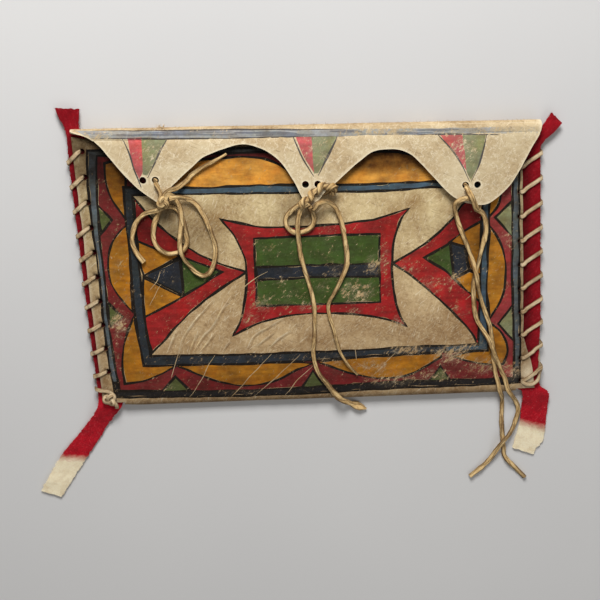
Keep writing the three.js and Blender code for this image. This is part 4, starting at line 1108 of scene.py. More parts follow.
def front_painted_shade(x, y):
    """Painted shade beside and under the flap, under the ties and lower down; darker ends and foot."""
    (edge_x, edge_y), (tip_x, tip_y) = FLAP_EDGE[1], FLAP_EDGE[3]
    length = math.hypot(tip_x - edge_x, tip_y - edge_y)
    out = ((x - edge_x) * (tip_y - edge_y) - (y - edge_y) * (tip_x - edge_x)) / length
    along = ((x - edge_x) * (tip_x - edge_x) + (y - edge_y) * (tip_y - edge_y)) / length
    # painted shade beside the flap's left edge and under its left corner
    beside_flap = BESIDE_FLAP_SHADE * (1 - smoothstep(out, 4, 34)) * (1 - smoothstep(along, 32, 62))
    corner = CORNER_SHADE * smoothstep(-x, 124, 142) * smoothstep(y, 46, 74)
    corner *= 1 - 0.2 * smoothstep(-x, 149, 155)
    # painted shade under the flap's arches, reaching lower on the right
    lower = 11 * smoothstep(x, -20, 20)
    under_arches = smoothstep(y, 74 - lower, 84 - lower)
    ends = max(LEFT_END_DARKENING * smoothstep(-x, 148, 156), RIGHT_END_DARKENING * smoothstep(x, 141, 146))
    foot = FOOT_DARKENING * smoothstep(-y, 93, 97)
    # darker laced ends and foot, with painted shade that darkens the lower front
    ends_foot_and_falloff = ends + FALLOFF_SHADE * smoothstep(-y, 10, 80) + foot
    unrubbed = 1 - strongest(RUBBED_PALE, x, y)
    return max(beside_flap, corner, under_arches, strongest(PAINTED_SHADOWS, x, y), ends_foot_and_falloff * unrubbed)


def soil_and_shade_at(x, run):
    """How dark the hide is, from 0 to 1: mostly painted shade, with some darkening of the ends, foot and
    back.
    """
    if run > RUN_TOP:
        # painted shade in the left end of the bend
        return BEND_SHADE * smoothstep(-x, 152, 158) * smoothstep(run, RUN_FLAP - 2, RUN_FLAP + 3)
    if run > RUN_BOTTOM:
        # painted shade on the bottom fold, fading into the back's darkening
        return lerp(BOTTOM_FOLD_SHADE, BACK_SOIL, smoothstep(run, RUN_BOTTOM, RUN_BACK + 6))
    return front_painted_shade(x, FRONT_EDGE_Y - run)


RIM_REACH = 1.5  # a cut edge's painted highlight, or a lacing hole's dark, reaches this far into the sheet
RIM_STEP = 0.8


def edge_shares(points, loops):
    """How near each point lies to a cut edge: 1 on the edge, 0 at the reach."""
    edges = []
    for loop in loops:
        for stretch in zip(loop, np.roll(loop, -1, axis=0)):
            edges.extend(spline(stretch, RIM_STEP)[:-1])
    tree = nearest_tree(edges)
    return [max(0, 1 - tree.find((*point, 0))[2] / RIM_REACH) for point in points]


PAST_EDGE = 5.0  # the bend's two lines are drawn this far past the ends


def flat_sheet():
    """The sheet cut into triangles along every painted line: points, triangles and their colours,
    and how near each point lies to an edge with a painted highlight and to one that is dark."""
    edge, layers = sheet_edge(), paint_layers()
    lacing_holes, tie_holes = hole_edges()
    holes = lacing_holes + tie_holes
    points, edges = [], []
    for loop in [edge, *holes, *(loop for _, loop in layers)]:
        first, count = len(points), len(loop)
        points.extend(loop)
        edges.extend((first + i, first + (i + 1) % count) for i in range(count))
    for run in (RUN_CREASE, RUN_LOBES):
        edges.append((len(points), len(points) + 1))
        points.extend([(LEFT - PAST_EDGE, run), (RIGHT + PAST_EDGE, run)])
    points.extend(sheet_grid(edge))
    flat, _, triangles, *_ = delaunay_2d_cdt([Vector(p) for p in points], edges, [], 0, 1e-3, False)
    flat = np.array([point.to_tuple() for point in flat])
    triangles = np.array(triangles)
    centres = flat[triangles].mean(axis=1)
    kept = inside(centres, edge)
    for loop in holes:
        kept &= ~inside(centres, loop)
    triangles, centres = triangles[kept], centres[kept]
    colours = np.array(["bare"] * len(triangles), dtype=object)
    for colour, loop in layers:
        colours[inside(centres, loop)] = colour
    pale, dark = edge_shares(flat, [edge, *tie_holes]), edge_shares(flat, lacing_holes)
    return flat, triangles, colours, pale, dark


def hide_piece(name, flat, triangles, colours, rim, pale, dark):
    """One stretch of the sheet with its outer face, inner face and cut edges."""
    used = np.unique(triangles)
    count = len(used)
    layers = [hide_layers(*flat[index]) for index in used]
    vertices = [outer for outer, _ in layers] + [inner for _, inner in layers]
    place = {index: i for i, index in enumerate(used)}
    corners = [(place[a], place[b], place[c]) for a, b, c in triangles]
    edges = [(place[a], place[b]) for a, b in rim if a in place and b in place]
    faces = [(a, c, b) for a, b, c in corners]
    faces += [(a + count, b + count, c + count) for a, b, c in corners]
    faces += [(a, b, b + count, a + count) for a, b in edges]
    obj = new_object(name, vertices, faces, RAWHIDE_FINISH)
    coats = {key: linear(value) + [value[3]] for key, value in PALETTE.items()}
    paint = [coats[colour] for colour in colours for _ in range(3)]
    paint += [coats["bare"]] * (3 * len(corners) + 4 * len(edges))
    colour = obj.data.color_attributes.new("paint", "FLOAT_COLOR", "CORNER")
    colour.data.foreach_set("color", np.array(paint, np.float32).ravel())
    point_values(obj, "wear", [wear_at(*flat[index]) for index in used] * 2)
    # mostly painted shade on the outer face; the inner face is evenly darker
    soil_and_shade = [max(soil_and_shade_at(*flat[index]), dark[index]) for index in used]
    point_values(obj, "soil_and_shade", soil_and_shade + [max(INNER_SOIL, dark[index]) for index in used])
    # rim: painted highlight along the cut edges and tie holes, and the pale of rubbed patches
    point_values(obj, "rim", [max(pale[index], pale_at(*flat[index])) for index in used] * 2)
    half = RAWHIDE / 2
    point_vectors(obj, "flat", [(*flat[i], half) for i in used] + [(*flat[i], -half) for i in used])
    return obj


def rim_edges(triangles):
    """Edges that belong to one triangle only, in that triangle's direction."""
    seen = {}
    for a, b, c in triangles:
        for edge in ((a, b), (b, c), (c, a)):
            if edge[::-1] in seen:
                del seen[edge[::-1]]
            else:
                seen[edge] = True
    return list(seen)


def rawhide():
    """The case, the bend beside the fold and the flap, cut from one sheet."""
    flat, triangles, colours, pale, dark = flat_sheet()
    rim = rim_edges(triangles)
    run = flat[triangles].mean(axis=1)[:, 1]
    spans = {
        "rawhide_case": run < RUN_CREASE,
        "rawhide_bend": (run >= RUN_CREASE) & (run < RUN_LOBES),
        "rawhide_flap": run >= RUN_LOBES,
    }
    pieces = []
    for name, chosen in spans.items():
        pieces.append(hide_piece(name, flat, triangles[chosen], colours[chosen], rim, pale, dark))
    case, bend, flap = pieces
    stand_for(case, "case", "case_body")
    stand_for(flap, "flap", "flap")
    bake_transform(bend)


# Rows across the wool strips
CLOTH_COLUMNS = 14
CLOTH_STEP = 1.9  # from row to row
SEAM_ROWS = [40, 0, -40, BOTTOM_FOLD_Y]
# Loose ends: rows of (outer x, outer y, inner x, inner y) from the strip's edges at the end of the case
LEFT_TAB = [(-5, 14, -7, 13), (-3, 7, -8, 7), (0, 1, -8.5, 1)]
LEFT_TAIL = [
    (-1.5, -1, -3.5, -2.5), (-5, -7, -8.5, -8.5), (-11, -15, -14.5, -16.5), (-16, -21, -19, -23.5),
    (-32.5, -40, -32, -41.5), (-50, -67, -53.5, -72),
]
RIGHT_TAB = [
    (15.2, -3.2, 25.8, 4.2), (9.6, -9.4, 20.4, -3.6), (3, -15, 15.5, -10.5), (0, -20.2, 8, -17.5),
    (0, -26, 0, -24),
]
RIGHT_TAIL = [
    (4.5, 0.5, 3.5, 1), (6.5, -4, 5, -4), (6, -13, 4.5, -11.5), (5.5, -19, 4, -17), (4.5, -30, 3.5, -24),
    (1, -55, -2.5, -46.5),
]
# How far each row dips, as a share of the way from the seat to the floor
LEFT_TAB_DIP = [0.3, 0.08, 0]
LEFT_TAIL_DIP = [0, 0.42, 0.9, 1, 1, 1]
RIGHT_TAIL_DIP = [0, 0.25, 0.88, 1, 1, 1]
UNDYED = {"left": 34, "right": 22}  # length of the white end
# Torn out of a tail's outer edge: (distance from its end, width lost)
WHOLE = [(0, 0), (1, 0)]
TORN_CORNER = [(0, 4.5), (3, 4), (6.5, 3.6), (7.5, 2), (10.5, 1.7), (12, 0)]
EDGE_WOBBLE = (0.6, 0.5)  # of the long edges: in the seam, and more by this on the loose ends
ROW_WOBBLE = (0.4, 0.4)  # of the rows, as above
THIN_EDGE = 0.45  # how much thinner the strip is along its edges
FELT_RELIEF = 0.12
DYE_FADE = 9  # the red fades into the white over this distance to each side
LOOSE = (97, 104)  # the strips come loose from the case between these distances up or down
SHADE_FADE = (4, 13)  # the painted shade on the strips lightens between these distances from the line of holes
SEAM_SHADE, OUTER_SHADE, TAB_SHADE = 0.8, 0.36, 0.5  # painted shade nearer the holes, farther out and on the tabs
FIBRES = 3.0  # loose fibres for each millimetre of edge
FIBRE_LENGTH = 1.3
FIBRE_RADIUS = 0.07
FIBRE_ROOT = 0.3  # depth at which a fibre starts below the surface
FIBRE_TAPER = 0.7  # how much thinner a fibre's tip is
FIBRE_POINTS = 9


def cloth_rows(side, along, rows, dips):
    """Rows of a loose end beyond the case's end at along, dipping towards the floor."""
    outer = CLOTH_EDGE[side]
    inner = outer + (CLOTH_WIDTH if side == "left" else -CLOTH_WIDTH)
    found = []
    for (outer_x, outer_y, inner_x, inner_y), dip in zip(rows, dips):
        height = lerp(CLOTH_SEAT, CLOTH_FLOOR, dip)
        found.append((outer + outer_x, along + outer_y, inner + inner_x, along + inner_y, height))
    return found


def seam_rows(side, places):
    return [row for y in places for row in cloth_rows(side, y, [(0, 0, 0, 0)], [0])]


def wool_shade(side, x, y):
    """Painted shade on the strips where the seams hold them and on the upper tabs, darkest under the
    holes.
    """
    out = abs(x - LEAN * y - HOLE_X[side])
    seam = lerp(SEAM_SHADE, OUTER_SHADE, smoothstep(out, *SHADE_FADE))
    seam *= 1 - smoothstep(max(y, 10 - y), 90, 106)
    tab = TAB_SHADE * smoothstep(y, 94, 108)
    far = math.hypot(out, min(abs(y - row) for row in HOLE_ROWS))
    return max(seam, tab, 1 - smoothstep(far, HOLE_DIAMETER[side] / 2, HOLE_DIAMETER[side]))


def fibre(base, direction, length, radius, random):
    """Three shrinking rings along a short bent fibre."""
    side = direction.cross(UPWARD).normalized()
    above = side.cross(direction)
    bend = side * random.uniform(-0.7, 0.7) + above * random.uniform(-0.4, 0.7)
    points = []
    for share in (0, 0.5, 1):
        middle = base + direction * (length * share) + bend * (length * share * share)
        reach = radius * (1 - FIBRE_TAPER * share)
        for corner in range(3):
            angle = 2 * math.pi * corner / 3
            point = middle + side * (reach * math.cos(angle)) + above * (reach * math.sin(angle))
            point.z = max(point.z, LOWEST)
            points.append(point)
    return points


def fibre_faces(first):
    faces = []
    for k in range(6):
        a, b = first + k, first + k + (1 if k % 3 < 2 else -2)
        faces.append((a, b, b + 3, a + 3))
    return faces + [(first + 8, first + 7, first + 6)]


def wool_piece(side, name, vertices, faces, dye, flat):
    obj = new_object(side + name, vertices, faces, WOOL_FINISH)
    point_values(obj, "dye", dye)
    point_values(obj, "soil_and_shade", [wool_shade(side, x, y) for x, y, _ in vertices])
    point_vectors(obj, "flat", flat)
    stand_for(obj, "case", side + "_edge_cloth")
    return obj


def wool_fibres(side, strip, strip_dye, strip_flat, rows):
    """Loose fibres along both edges of a strip."""
    random = np.random.default_rng(rows)
    count = CLOTH_COLUMNS + 1
    vertices, faces, dye, flat = [], [], [], []
    for r in range(rows - 1):
        for column, inward in ((0, 1), (CLOTH_COLUMNS, -1)):
            a = r * count + column
            base, following, inner = (Vector(strip[i]) for i in (a, a + count, a + inward))
            outward = (base - inner).normalized()
            number = FIBRES * (1 + smoothstep(base.y, *LOOSE)) * (following - base).length
            for _ in range(random.poisson(number)):
                foot = base.lerp(following, random.random()) - Vector((0, 0, CLOTH * random.random()))
                aim = outward + (following - base).normalized() * random.uniform(-1, 1)
                length = FIBRE_LENGTH * random.uniform(0.3, 1)
                faces += fibre_faces(len(vertices))
                root = foot - outward * FIBRE_ROOT
                vertices += fibre(root, aim.normalized(), length, FIBRE_RADIUS, random)
                dye += [strip_dye[a]] * FIBRE_POINTS
                flat += [strip_flat[a]] * FIBRE_POINTS
    return wool_piece(side, "_wool_strip_fibres", vertices, faces, dye, flat)


def strip_points(rows, along, white, torn):
    """Points of a strip's two faces, how white each is and where it lies on the flat strip."""
    vertices, dye, flat = [], [], []
    for layer in (1, -1):
        for row, distance in zip(rows, along):
            cut = np.interp(along[-1] - distance, *zip(*torn)) / CLOTH_WIDTH
            for column in range(CLOTH_COLUMNS + 1):
                share = cut + (1 - cut) * column / CLOTH_COLUMNS
                x, y = lerp(row[0], row[2], share), lerp(row[1], row[3], share)
                edge = abs(2 * column / CLOTH_COLUMNS - 1) ** 6
                loose = smoothstep(abs(y), *LOOSE)
                wobble = (EDGE_WOBBLE[0] + EDGE_WOBBLE[1] * loose) * edge
                x += wobble * rough(share * 9, distance / 1.3, 2.0)
                wobble = ROW_WOBBLE[0] + ROW_WOBBLE[1] * loose
                y += wobble * rough(share * 7, distance / 3, 5.0)
                lift = loose * (0.6 + 0.6 * rough(share * 1.6, distance / 11, 6.0))
                felt = FELT_RELIEF * rough(x / 1.5, y / 1.5, layer)
                half = CLOTH / 2 * (1 - THIN_EDGE * edge) + felt
                z = max(max(row[4], CLOTH_FLOOR) + lift + layer * half, LOWEST)
                vertices.append((x + LEAN * y, y, z))
                dye.append(smoothstep(distance - along[-1] + white, -DYE_FADE, DYE_FADE))
                flat.append((share * CLOTH_WIDTH, distance, layer * half))
    return vertices, dye, flat


def strip_faces(rows):
    """Both faces of a strip with so many rows, and the edge between them."""
    count = CLOTH_COLUMNS + 1
    layer = rows * count
    faces = []
    for r in range(rows - 1):
        for c in range(CLOTH_COLUMNS):
            a = r * count + c
            faces.append((a, a + count, a + count + 1, a + 1))
            faces.append((a + layer, a + layer + 1, a + layer + count + 1, a + layer + count))
    last = (rows - 1) * count
    border = list(range(count))
    border += [r * count + CLOTH_COLUMNS for r in range(1, rows)]
    border += [last + c for c in reversed(range(CLOTH_COLUMNS))]
    border += [r * count for r in reversed(range(1, rows - 1))]
    return faces + [(a, b, b + layer, a + layer) for a, b in zip(border, border[1:] + border[:1])]


def wool_strip(side, rows, torn):
    """A felted strip through the given rows, red but for its undyed end."""
    rows = spline(rows, CLOTH_STEP)
    along = lengths_along((rows[:, 0:2] + rows[:, 2:4]) / 2)
    vertices, dye, flat = strip_points(rows, along, UNDYED[side], torn)
    faces = strip_faces(len(rows))
    if side == "right":
        faces = [face[::-1] for face in faces]
    fibres = wool_fibres(side, vertices, dye, flat, len(rows))
    obj = wool_piece(side, "_wool_strip", vertices, faces, dye, flat)


def wool_strips():
    left = cloth_rows("left", TOP, LEFT_TAB, LEFT_TAB_DIP)
    left += seam_rows("left", [FOLD_Y - CLOTH_WIDTH, *SEAM_ROWS])
    left += cloth_rows("left", BOTTOM, LEFT_TAIL, LEFT_TAIL_DIP)
    wool_strip("left", left, WHOLE)
    right = cloth_rows("right", TOP, RIGHT_TAB, [0] * len(RIGHT_TAB))
    right += seam_rows("right", SEAM_ROWS)
    right += cloth_rows("right", BOTTOM, RIGHT_TAIL, RIGHT_TAIL_DIP)
    wool_strip("right", right, TORN_CORNER)


# Torn fibres along the top fold: (middle across, half width, number, longest, thickest)
FOLD_FIBRES = [(0, 156, 420, 2.0, 0.17), (-99, 2.2, 30, 3.8, 0.34)]
FIBRED = (0.4, 0.7)  # the part of the fold's run that has them


def fold_fibres():
    """Fibres of torn hide that stand up along the top fold, and a tuft of them."""
    random = np.random.default_rng(5)
    vertices, faces, flat = [], [], []
    for middle, half, number, longest, thickest in FOLD_FIBRES:
        for _ in range(number):
            x = middle + half * random.uniform(-1, 1)
            run = RUN_TOP + TOP_FOLD_RUN * random.uniform(*FIBRED)
            outer, inner = (Vector(point) for point in hide_layers(x, run))
            outward = (outer - inner).normalized()
            aim = outward + Vector(random.uniform(-0.9, 0.9, 3))
            length = longest * random.uniform(0.25, 1)
            radius = thickest * random.uniform(0.5, 1)
            faces += fibre_faces(len(vertices))
            vertices += fibre(outer - outward * FIBRE_ROOT, aim.normalized(), length, radius, random)
            flat += [(x, run, 0)] * FIBRE_POINTS
    obj = new_object("fold_fibres", vertices, faces, LACE_FINISH)
    point_vectors(obj, "flat", flat)
    stand_for(obj, "case", "case_body")


# Swept hide: the lacing and the thongs
SECTION_SIDES = 18
SECTION_POWER = 0.8  # below 1 makes the oval section squarer
ROUGHNESS, ROUGH_SIZE = 0.2, 2.6  # how uneven a strap is, and over what length
CREASE_WIDTH = 0.36  # of the fold along a thong, in radians
CREASE_SWAY, SWAY_SIZE = 1.6, 12  # how far the fold wanders round the thong, and over what length
LACE_STEP, KNOT_STEP, THONG_STEP, COIL_STEP = 0.9, 0.6, 1.0, 0.35


def squarer(value):
    """A cosine or sine for an oval that is a little square."""
    return math.copysign(abs(value) ** SECTION_POWER, value)


def sweep(lines, material, name, width, depth, crease=0.0):
    """Rounded flat straps along lines of (points, facings, width shares), joined in one object."""
    vertices, faces, flat, side = [], [], [], []
    for points, facings, widths in lines:
        along = lengths_along(points)
        tangents = np.gradient(points, axis=0)
        first = len(vertices)
        seed = first * 0.37  # so that no two straps are alike
        for point, facing, tangent, distance, share in zip(points, facings, tangents, along, widths):
            ahead = Vector(tangent).normalized()
            sway = CREASE_SWAY * rough(distance / SWAY_SIZE, seed, 2.5)
            across = ahead.cross(Vector(facing)).normalized()
            normal = across.cross(ahead)
            for k in range(SECTION_SIDES):
                angle = 2 * math.pi * k / SECTION_SIDES
                c, s = math.cos(angle), math.sin(angle)
                w = squarer(c) * width / 2 * share
                d = squarer(s) * depth / 2 * min(share, 1)
                fold = math.exp(-((angle - (math.pi / 2 + sway)) / CREASE_WIDTH) ** 2)
                uneven = 1 - crease * fold + ROUGHNESS * rough(distance / ROUGH_SIZE, k * 1.1, seed)
                vertex = Vector(point) + across * (w * uneven) + normal * (d * uneven)
                vertex.z = max(vertex.z, LOWEST)
                vertices.append(vertex)
                flat.append((distance + first, angle * width / 4, d))
                # side: where painted shade falls, at the strap's sides and in its crease
                side.append(max(abs(c), fold * (crease > 0)))
        for r in range(len(points) - 1):
            for k in range(SECTION_SIDES):
                a = first + r * SECTION_SIDES + k
                b = first + r * SECTION_SIDES + (k + 1) % SECTION_SIDES
                faces.append((a, b, b + SECTION_SIDES, a + SECTION_SIDES))
        faces.append(tuple(reversed(range(first, first + SECTION_SIDES))))
        faces.append(tuple(range(len(vertices) - SECTION_SIDES, len(vertices))))
    obj = new_object(name, vertices, faces, material)
    point_vectors(obj, "flat", flat)
    point_values(obj, "side", side)
    return obj


def stitch_profile(hole, hide_edge, back_edge, cloth_edge):
    """One whip stitch across the laced end: (out from the hole, height, facing in degrees)."""
    rise = CLEARANCE + LACE_THICKNESS / 2
    front = SEAM_TOP + rise
    cloth = CLOTH_HIGH + rise + CLEARANCE / 2
    back = SEAM_LIFT - rise
    bend = hole / 2 - LACE_THICKNESS / 2
    over = hide_edge + rise
    round_edge = max(cloth_edge, back_edge) + rise + CLEARANCE / 2
    drop_end = min(over + SEAM_TOP - CLOTH_HIGH, round_edge - LACE_THICKNESS / 2)
    under = max(back_edge, cloth_edge - LACE_THICKNESS / 2) + rise * 1.4
    front_points = [
        (bend * 0.8, SEAM_TOP - RAWHIDE, 180), (bend, SEAM_TOP + rise * 0.7, 135),
        (bend * 1.8, front, 90), (over, front, 90), (drop_end, cloth + CLEARANCE, 80),
        (round_edge - CLEARANCE, cloth, 80), (round_edge, CLOTH_HIGH, 15),
    ]
    back_points = [
        (round_edge, CLOTH_LOW, -10), (under, (CLOTH_LOW + back) / 2, -40),
        (back_edge + rise * 0.7, back - CLEARANCE / 2, -80), (bend * 1.3, back, -90),
        (bend * 0.5, SEAM_LIFT - rise * 0.8, -135), (0, SEAM_LIFT, -180),
    ]
    return front_points, back_points


def hide_reach(side, y):
    """How far the front panel reaches past the holes of one end."""
    if side == "left":
        return HOLE_X["left"] - LEFT
    down = min(max((BOTTOM + FLARE_HEIGHT - y) / FLARE_HEIGHT, 0), 1)
    return TRIM_MARGIN + FLARE_WIDTH * min(1, 2 * down)


def lacing_line(side):
    """The lace from hole to hole along one end, as rows of (x, y, z, facing)."""
    outward = -1 if side == "left" else 1
    holes = HOLE_ROWS if side == "left" else HOLE_ROWS[::-1]
    cloth_edge = (CLOTH_EDGE[side] - HOLE_X[side]) * outward
    back_edge = HOLE_X["left"] - LEFT if side == "left" else RIGHT - HOLE_X["right"]
    hole = HOLE_DIAMETER[side]
    stations = []

    def place(out, y, z, degrees):
        angle = math.radians(degrees)
        x, facing = HOLE_X[side] + outward * out, outward * math.cos(angle)
        stations.append((x, y, z, facing, 0, math.sin(angle)))

    lead = stitch_profile(hole, back_edge, back_edge, cloth_edge)[1][-4:]
    for out, z, degrees in lead:
        place(out, holes[0], z, degrees)
    for y, following in zip(holes, holes[1:]):
        edge_y = y + lerp(*STITCH_SLANT[side], (HOLE_ROWS[0] - y) / (HOLE_ROWS[0] - HOLE_ROWS[-1]))
        front, back = stitch_profile(hole, hide_reach(side, y), back_edge, cloth_edge)
        reach = back[0][0] - hole / 2
        for hole_y, profile in ((y, front), (following, back)):
            for out, z, degrees in profile:
                share = max((out - hole / 2) / reach, 0)
                place(out, lerp(hole_y, edge_y, share), z, degrees)
    last_front, _ = stitch_profile(hole, hide_reach(side, holes[-1]), back_edge, cloth_edge)
    for out, z, degrees in last_front[:3]:
        place(out, holes[-1], z, degrees)
    return stations


def swept_line(rows, step, tip=1.0):
    """Points, facings and width shares for one strap, leaned with the case."""
    rows = spline(rows, step)
    points = rows[:, :3].copy()
    points[:, 0] += LEAN * points[:, 1]
    widths = np.ones(len(points))
    widths[0] = widths[-1] = tip
    return points, rows[:, 3:], widths


KNOT_POINTS = 40
KNOT_ROLL = 0.2  # how far a knot's strap faces outward


def overhand_knot(x, y, z, size, height, turn):
    """A small tight knot as a closed path, as rows of (x, y, z, facing)."""
    rows = []
    for t in np.linspace(0, 2 * math.pi, KNOT_POINTS):
        a = size * (math.sin(t) + 2 * math.sin(2 * t)) / 3
        b = size * (math.cos(t) - 2 * math.cos(2 * t)) / 3
        px = a * math.cos(turn) - b * math.sin(turn)
        py = a * math.sin(turn) + b * math.cos(turn)
        pz = -height * math.sin(3 * t)
        rows.append((x + px, y + py, z + pz, KNOT_ROLL * px, KNOT_ROLL * py, 1))
    return rows


# The lace's extra turns at the lower corners, as rows of (x, y, z, facing)
LACE_ENDS = {
    "left": [
        [
            (-163.9, -86, 4.6, -1, 0, 0), (-163.2, -86.4, 7.2, -0.7, 0, 0.7), (-160, -87, 8.6, 0, 0, 1),
            (-156, -87.6, 8.7, 0, 0, 1), (-152.6, -88.8, 9.4, 0, 0, 1), (-150.6, -92, 10, 0.3, 0, 1),
            (-152.4, -95.6, 9.8, 0, -0.2, 1),
        ],
        [
            (-153.6, -94, 10.4, 0, 0, 1), (-150.4, -96.8, 10.4, 0, 0, 1),
            (-149.6, -100.4, 8.4, 0, -0.5, 0.8), (-150.4, -102.6, 5.4, 0, -1, 0.3),
        ],
    ],
    "right": [
        [
            (145, -91, 6.8, -1, 0, 0), (146.2, -92.4, 8.4, -0.5, 0, 0.8), (149, -93.8, 8.7, 0, 0, 1),
            (153, -93.6, 8.7, 0, 0, 1), (156.6, -91, 8.5, 0, 0, 1), (158.6, -87, 6.8, 0.7, 0, 0.6),
            (160.9, -83.6, 4.9, 1, 0, 0.1),
        ],
    ],
}
LACE_TIP = 0.7  # width of an extra turn's ends, as a share of the lace's
# Knots: x, y, z, size, height and turn
LACE_KNOT = (HOLE_X["left"] - 0.6, HOLE_ROWS[-1] - 3, SEAM_TOP + 2.4, 4.4, 1.2, 0.4)
LEFT_KNOT = (-104.6, 52.6, 19.8, 3.3, 1.0, 0.9)
KNOT_WIDTH = 0.74  # share of the thong's width


def lacing():
    """The two laced ends, the left one finished with a knot at the lower corner."""
    for side in ("left", "right"):
        lines = [swept_line(lacing_line(side), LACE_STEP)]
        if side == "left":
            lines.append(swept_line(overhand_knot(*LACE_KNOT), KNOT_STEP))
        lines += [swept_line(rows, LACE_STEP, LACE_TIP) for rows in LACE_ENDS[side]]
        obj = sweep(lines, LACE_FINISH, side + "_lace", LACE_WIDTH, LACE_THICKNESS)
        stand_for(obj, "case", side + "_lacing")


STEEP = 0.8  # a thong that climbs more steeply than this keeps the way it faced
FACING_ROUNDS = 6  # of smoothing
TWIST, TWIST_POINTS = 1.2, 12  # how far a thong rocks, and over how many points


def thong_facings(points, seed):
    """Directions that the flat of a thong faces: mostly up, rocking as it twists along its length."""
    tangents = [Vector(tangent).normalized() for tangent in np.gradient(points, axis=0)]
    facings = []
    last = UPWARD
    for ahead in tangents:
        wanted = UPWARD if abs(ahead.z) < STEEP else last
        last = (wanted - ahead * wanted.dot(ahead)).normalized()
        facings.append(tuple(last))
    facings = np.array(facings)
    for _ in range(FACING_ROUNDS):
        facings[1:-1] = (facings[:-2] + facings[1:-1] + facings[2:]) / 3
    turned = []
    for i, (facing, ahead) in enumerate(zip(facings, tangents)):
        rock = TWIST * rough(i / TWIST_POINTS, seed, 0.5)
        turned.append(tuple(Matrix.Rotation(rock, 3, ahead) @ Vector(facing)))
    return np.array(turned)


# Widths along a strand: (share of its length, share of the full width)
EVEN = [(0, 0.86), (0.5, 0.78), (1, 0.84)]
TAPERED = [(0, 0.9), (0.5, 0.82), (0.75, 0.66), (1, 0.45)]
FLARED = [
    (0, 0.84), (0.5, 0.74), (0.72, 0.74), (0.8, 0.95), (0.84, 1.1), (0.88, 0.85), (0.93, 0.8),
    (0.955, 1.5), (0.975, 1.25), (1, 0.15),
]
UNEVEN_WIDTH = 0.14  # how much they change, as a share
# Strands: (name, tie, route, length in metres, far end, widths)
STRANDS = [
    ("left_loop_thong", "left_tie", LEFT_LOOP, 0.176, "bare", EVEN),
    ("left_bow_thong", "left_tie", LEFT_BOW, 0.178, "knot", EVEN),
    ("left_end_thong", "left_tie", LEFT_END, 0.055, "bare", TAPERED),
    ("middle_ring_thong", "middle_tie", MIDDLE_RING, 0.105, "knot", EVEN),
    ("middle_left_thong", "middle_tie", MIDDLE_LEFT_TAIL, 0.186, "bare", FLARED),
    ("middle_right_thong", "middle_tie", MIDDLE_RIGHT_TAIL, 0.172, "bare", TAPERED),
    ("right_hole_thong", "right_tie", RIGHT_HOLE_TAIL, 0.270, "bare", EVEN),
    ("right_tip_thong", "right_tie", RIGHT_TIP_TAIL, 0.271, "bare", EVEN),
]
COIL_SPAN = (0.1, 0.44)  # shares of the middle ring's length
COIL_PITCH = 7.6
COIL_WIDTH = 0.95
COIL_REACH = (2.0, 1.7)  # across the strand and out from it


def coil(points, facings):
    """A strap wound round a stretch of a strand: points, facings and width shares."""
    first, last = (round(share * len(points)) for share in COIL_SPAN)
    stretch = spline(points[first:last], COIL_STEP)
    turned, radii = [], []
    along = lengths_along(stretch)
    places = np.linspace(first, last - 1, len(stretch))
    for point, distance, place, tangent in zip(stretch, along, places, np.gradient(stretch, axis=0)):
        ahead = Vector(tangent).normalized()
        across = ahead.cross(Vector(facings[round(place)])).normalized()
        normal = across.cross(ahead)
        angle = 2 * math.pi * distance / COIL_PITCH
        reach = across * (COIL_REACH[0] * math.cos(angle)) + normal * (COIL_REACH[1] * math.sin(angle))
        turned.append(tuple(Vector(point) + reach))
        radii.append(tuple(reach))
    return np.array(turned), np.array(radii), np.full(len(turned), COIL_WIDTH)


def knotted():
    """The overhand knot at the left lobe's tip: points, facings and width shares."""
    rows = spline(overhand_knot(*LEFT_KNOT), KNOT_STEP)
    return rows[:, :3], rows[:, 3:], np.full(len(rows), KNOT_WIDTH)


def thong(name, node, line):
    obj = sweep([line], THONG_FINISH, name, THONG_WIDTH, THONG_DEPTH, THONG_CREASE)
    stand_for(obj, "flap", node)
    return obj


def ties():
    """The thongs of the three ties, each a strand along its route."""
    for number, (name, node, route, length, far_end, profile) in enumerate(STRANDS):
        points = spline(route, THONG_STEP)
        shares = np.linspace(0, 1, len(points))
        uneven = unevenness(points[:, :2], UNEVEN_WIDTH, number + 0.5)
        widths = np.interp(shares, *zip(*profile)) + uneven
        facings = thong_facings(points, number * 3.7)
        obj = thong(name, node, (points, facings, widths))
        extra = []
        if name == "left_loop_thong":
            extra = [thong("left_knot", node, knotted())]
        if name == "middle_ring_thong":
            extra = [thong("middle_coil", node, coil(points, facings))]


# Setting
CAMERA_TILT, CAMERA_YAW, CAMERA_ROLL = (math.radians(a) for a in (18.7, -4.0, -0.48))
CAMERA_TARGET = Vector((-0.0118, -0.0243, 0.006))
CAMERA_DISTANCE = 0.9
FOCAL_LENGTH_PIXELS = 1273
FRAME_PIXELS = 600
FLOOR_HALF = 2500
# Area lights, aimed at the case's middle: (name, place, size, power), in metres and watts
LIGHTS = [("key", (-0.12, 0.97, 0.74), 0.4, 16.5), ("fill", (0.5, -0.7, 0.9), 0.9, 2.0)]
AMBIENT = 0.22


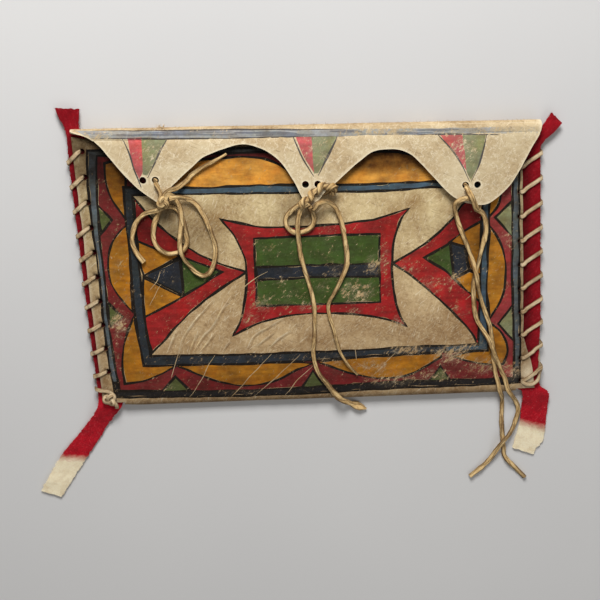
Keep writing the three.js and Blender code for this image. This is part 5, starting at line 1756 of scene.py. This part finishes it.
def camera():
    """A view of the front, square to it but for a tilt, a yaw and a roll."""
    back = Vector((
        math.sin(CAMERA_YAW) * math.cos(CAMERA_TILT),
        math.sin(CAMERA_TILT),
        math.cos(CAMERA_YAW) * math.cos(CAMERA_TILT),
    ))
    level = Vector((math.cos(CAMERA_YAW), 0, -math.sin(CAMERA_YAW)))
    above = back.cross(level)
    right = level * math.cos(CAMERA_ROLL) + above * math.sin(CAMERA_ROLL)
    up = above * math.cos(CAMERA_ROLL) - level * math.sin(CAMERA_ROLL)
    data = bpy.data.cameras.new("camera")
    data.lens = data.sensor_width * FOCAL_LENGTH_PIXELS / FRAME_PIXELS
    obj = bpy.data.objects.new("camera", data)
    obj.matrix_world = Matrix((right, up, back)).transposed().to_4x4()
    obj.location = CAMERA_TARGET + back * CAMERA_DISTANCE
    bpy.context.scene.collection.objects.link(obj)
    bpy.context.scene.camera = obj


def floor():
    f = Finish("floor", {"Specular IOR Level": 0.2})
    position = f.node("TexCoord", {}).outputs["Object"]
    tone = f.noise(position, 400, 3, 0.5)
    colour = f.mix(f.ramp(tone, 0.3, 0.7), (0.62, 0.61, 0.6, 1), (0.66, 0.65, 0.635, 1))
    material = f.finish(colour, 0.9, f.bump(f.noise(position, 3, 4, 0.6), 0.05, 0.3))
    signs = [(-1, -1), (1, -1), (1, 1), (-1, 1)]
    corners = [(x * FLOOR_HALF, y * FLOOR_HALF, 0) for x, y in signs]
    new_object("floor", corners, [(0, 1, 2, 3)], material)


def lights():
    for name, place, size, power in LIGHTS:
        data = bpy.data.lights.new(name, "AREA")
        data.size = size
        data.energy = power
        obj = bpy.data.objects.new(name, data)
        obj.location = place
        obj.rotation_euler = (-Vector(place)).to_track_quat("-Z", "Y").to_euler()
        bpy.context.scene.collection.objects.link(obj)
    world = bpy.data.worlds.new("studio")
    world.use_nodes = True
    background = world.node_tree.nodes["Background"]
    background.inputs["Color"].default_value = (1.0, 1.0, 1.0, 1.0)
    background.inputs["Strength"].default_value = AMBIENT
    bpy.context.scene.world = world


rawhide()
fold_fibres()
wool_strips()
lacing()
ties()
floor()
lights()
camera()
bpy.context.scene.view_settings.view_transform = "Standard"
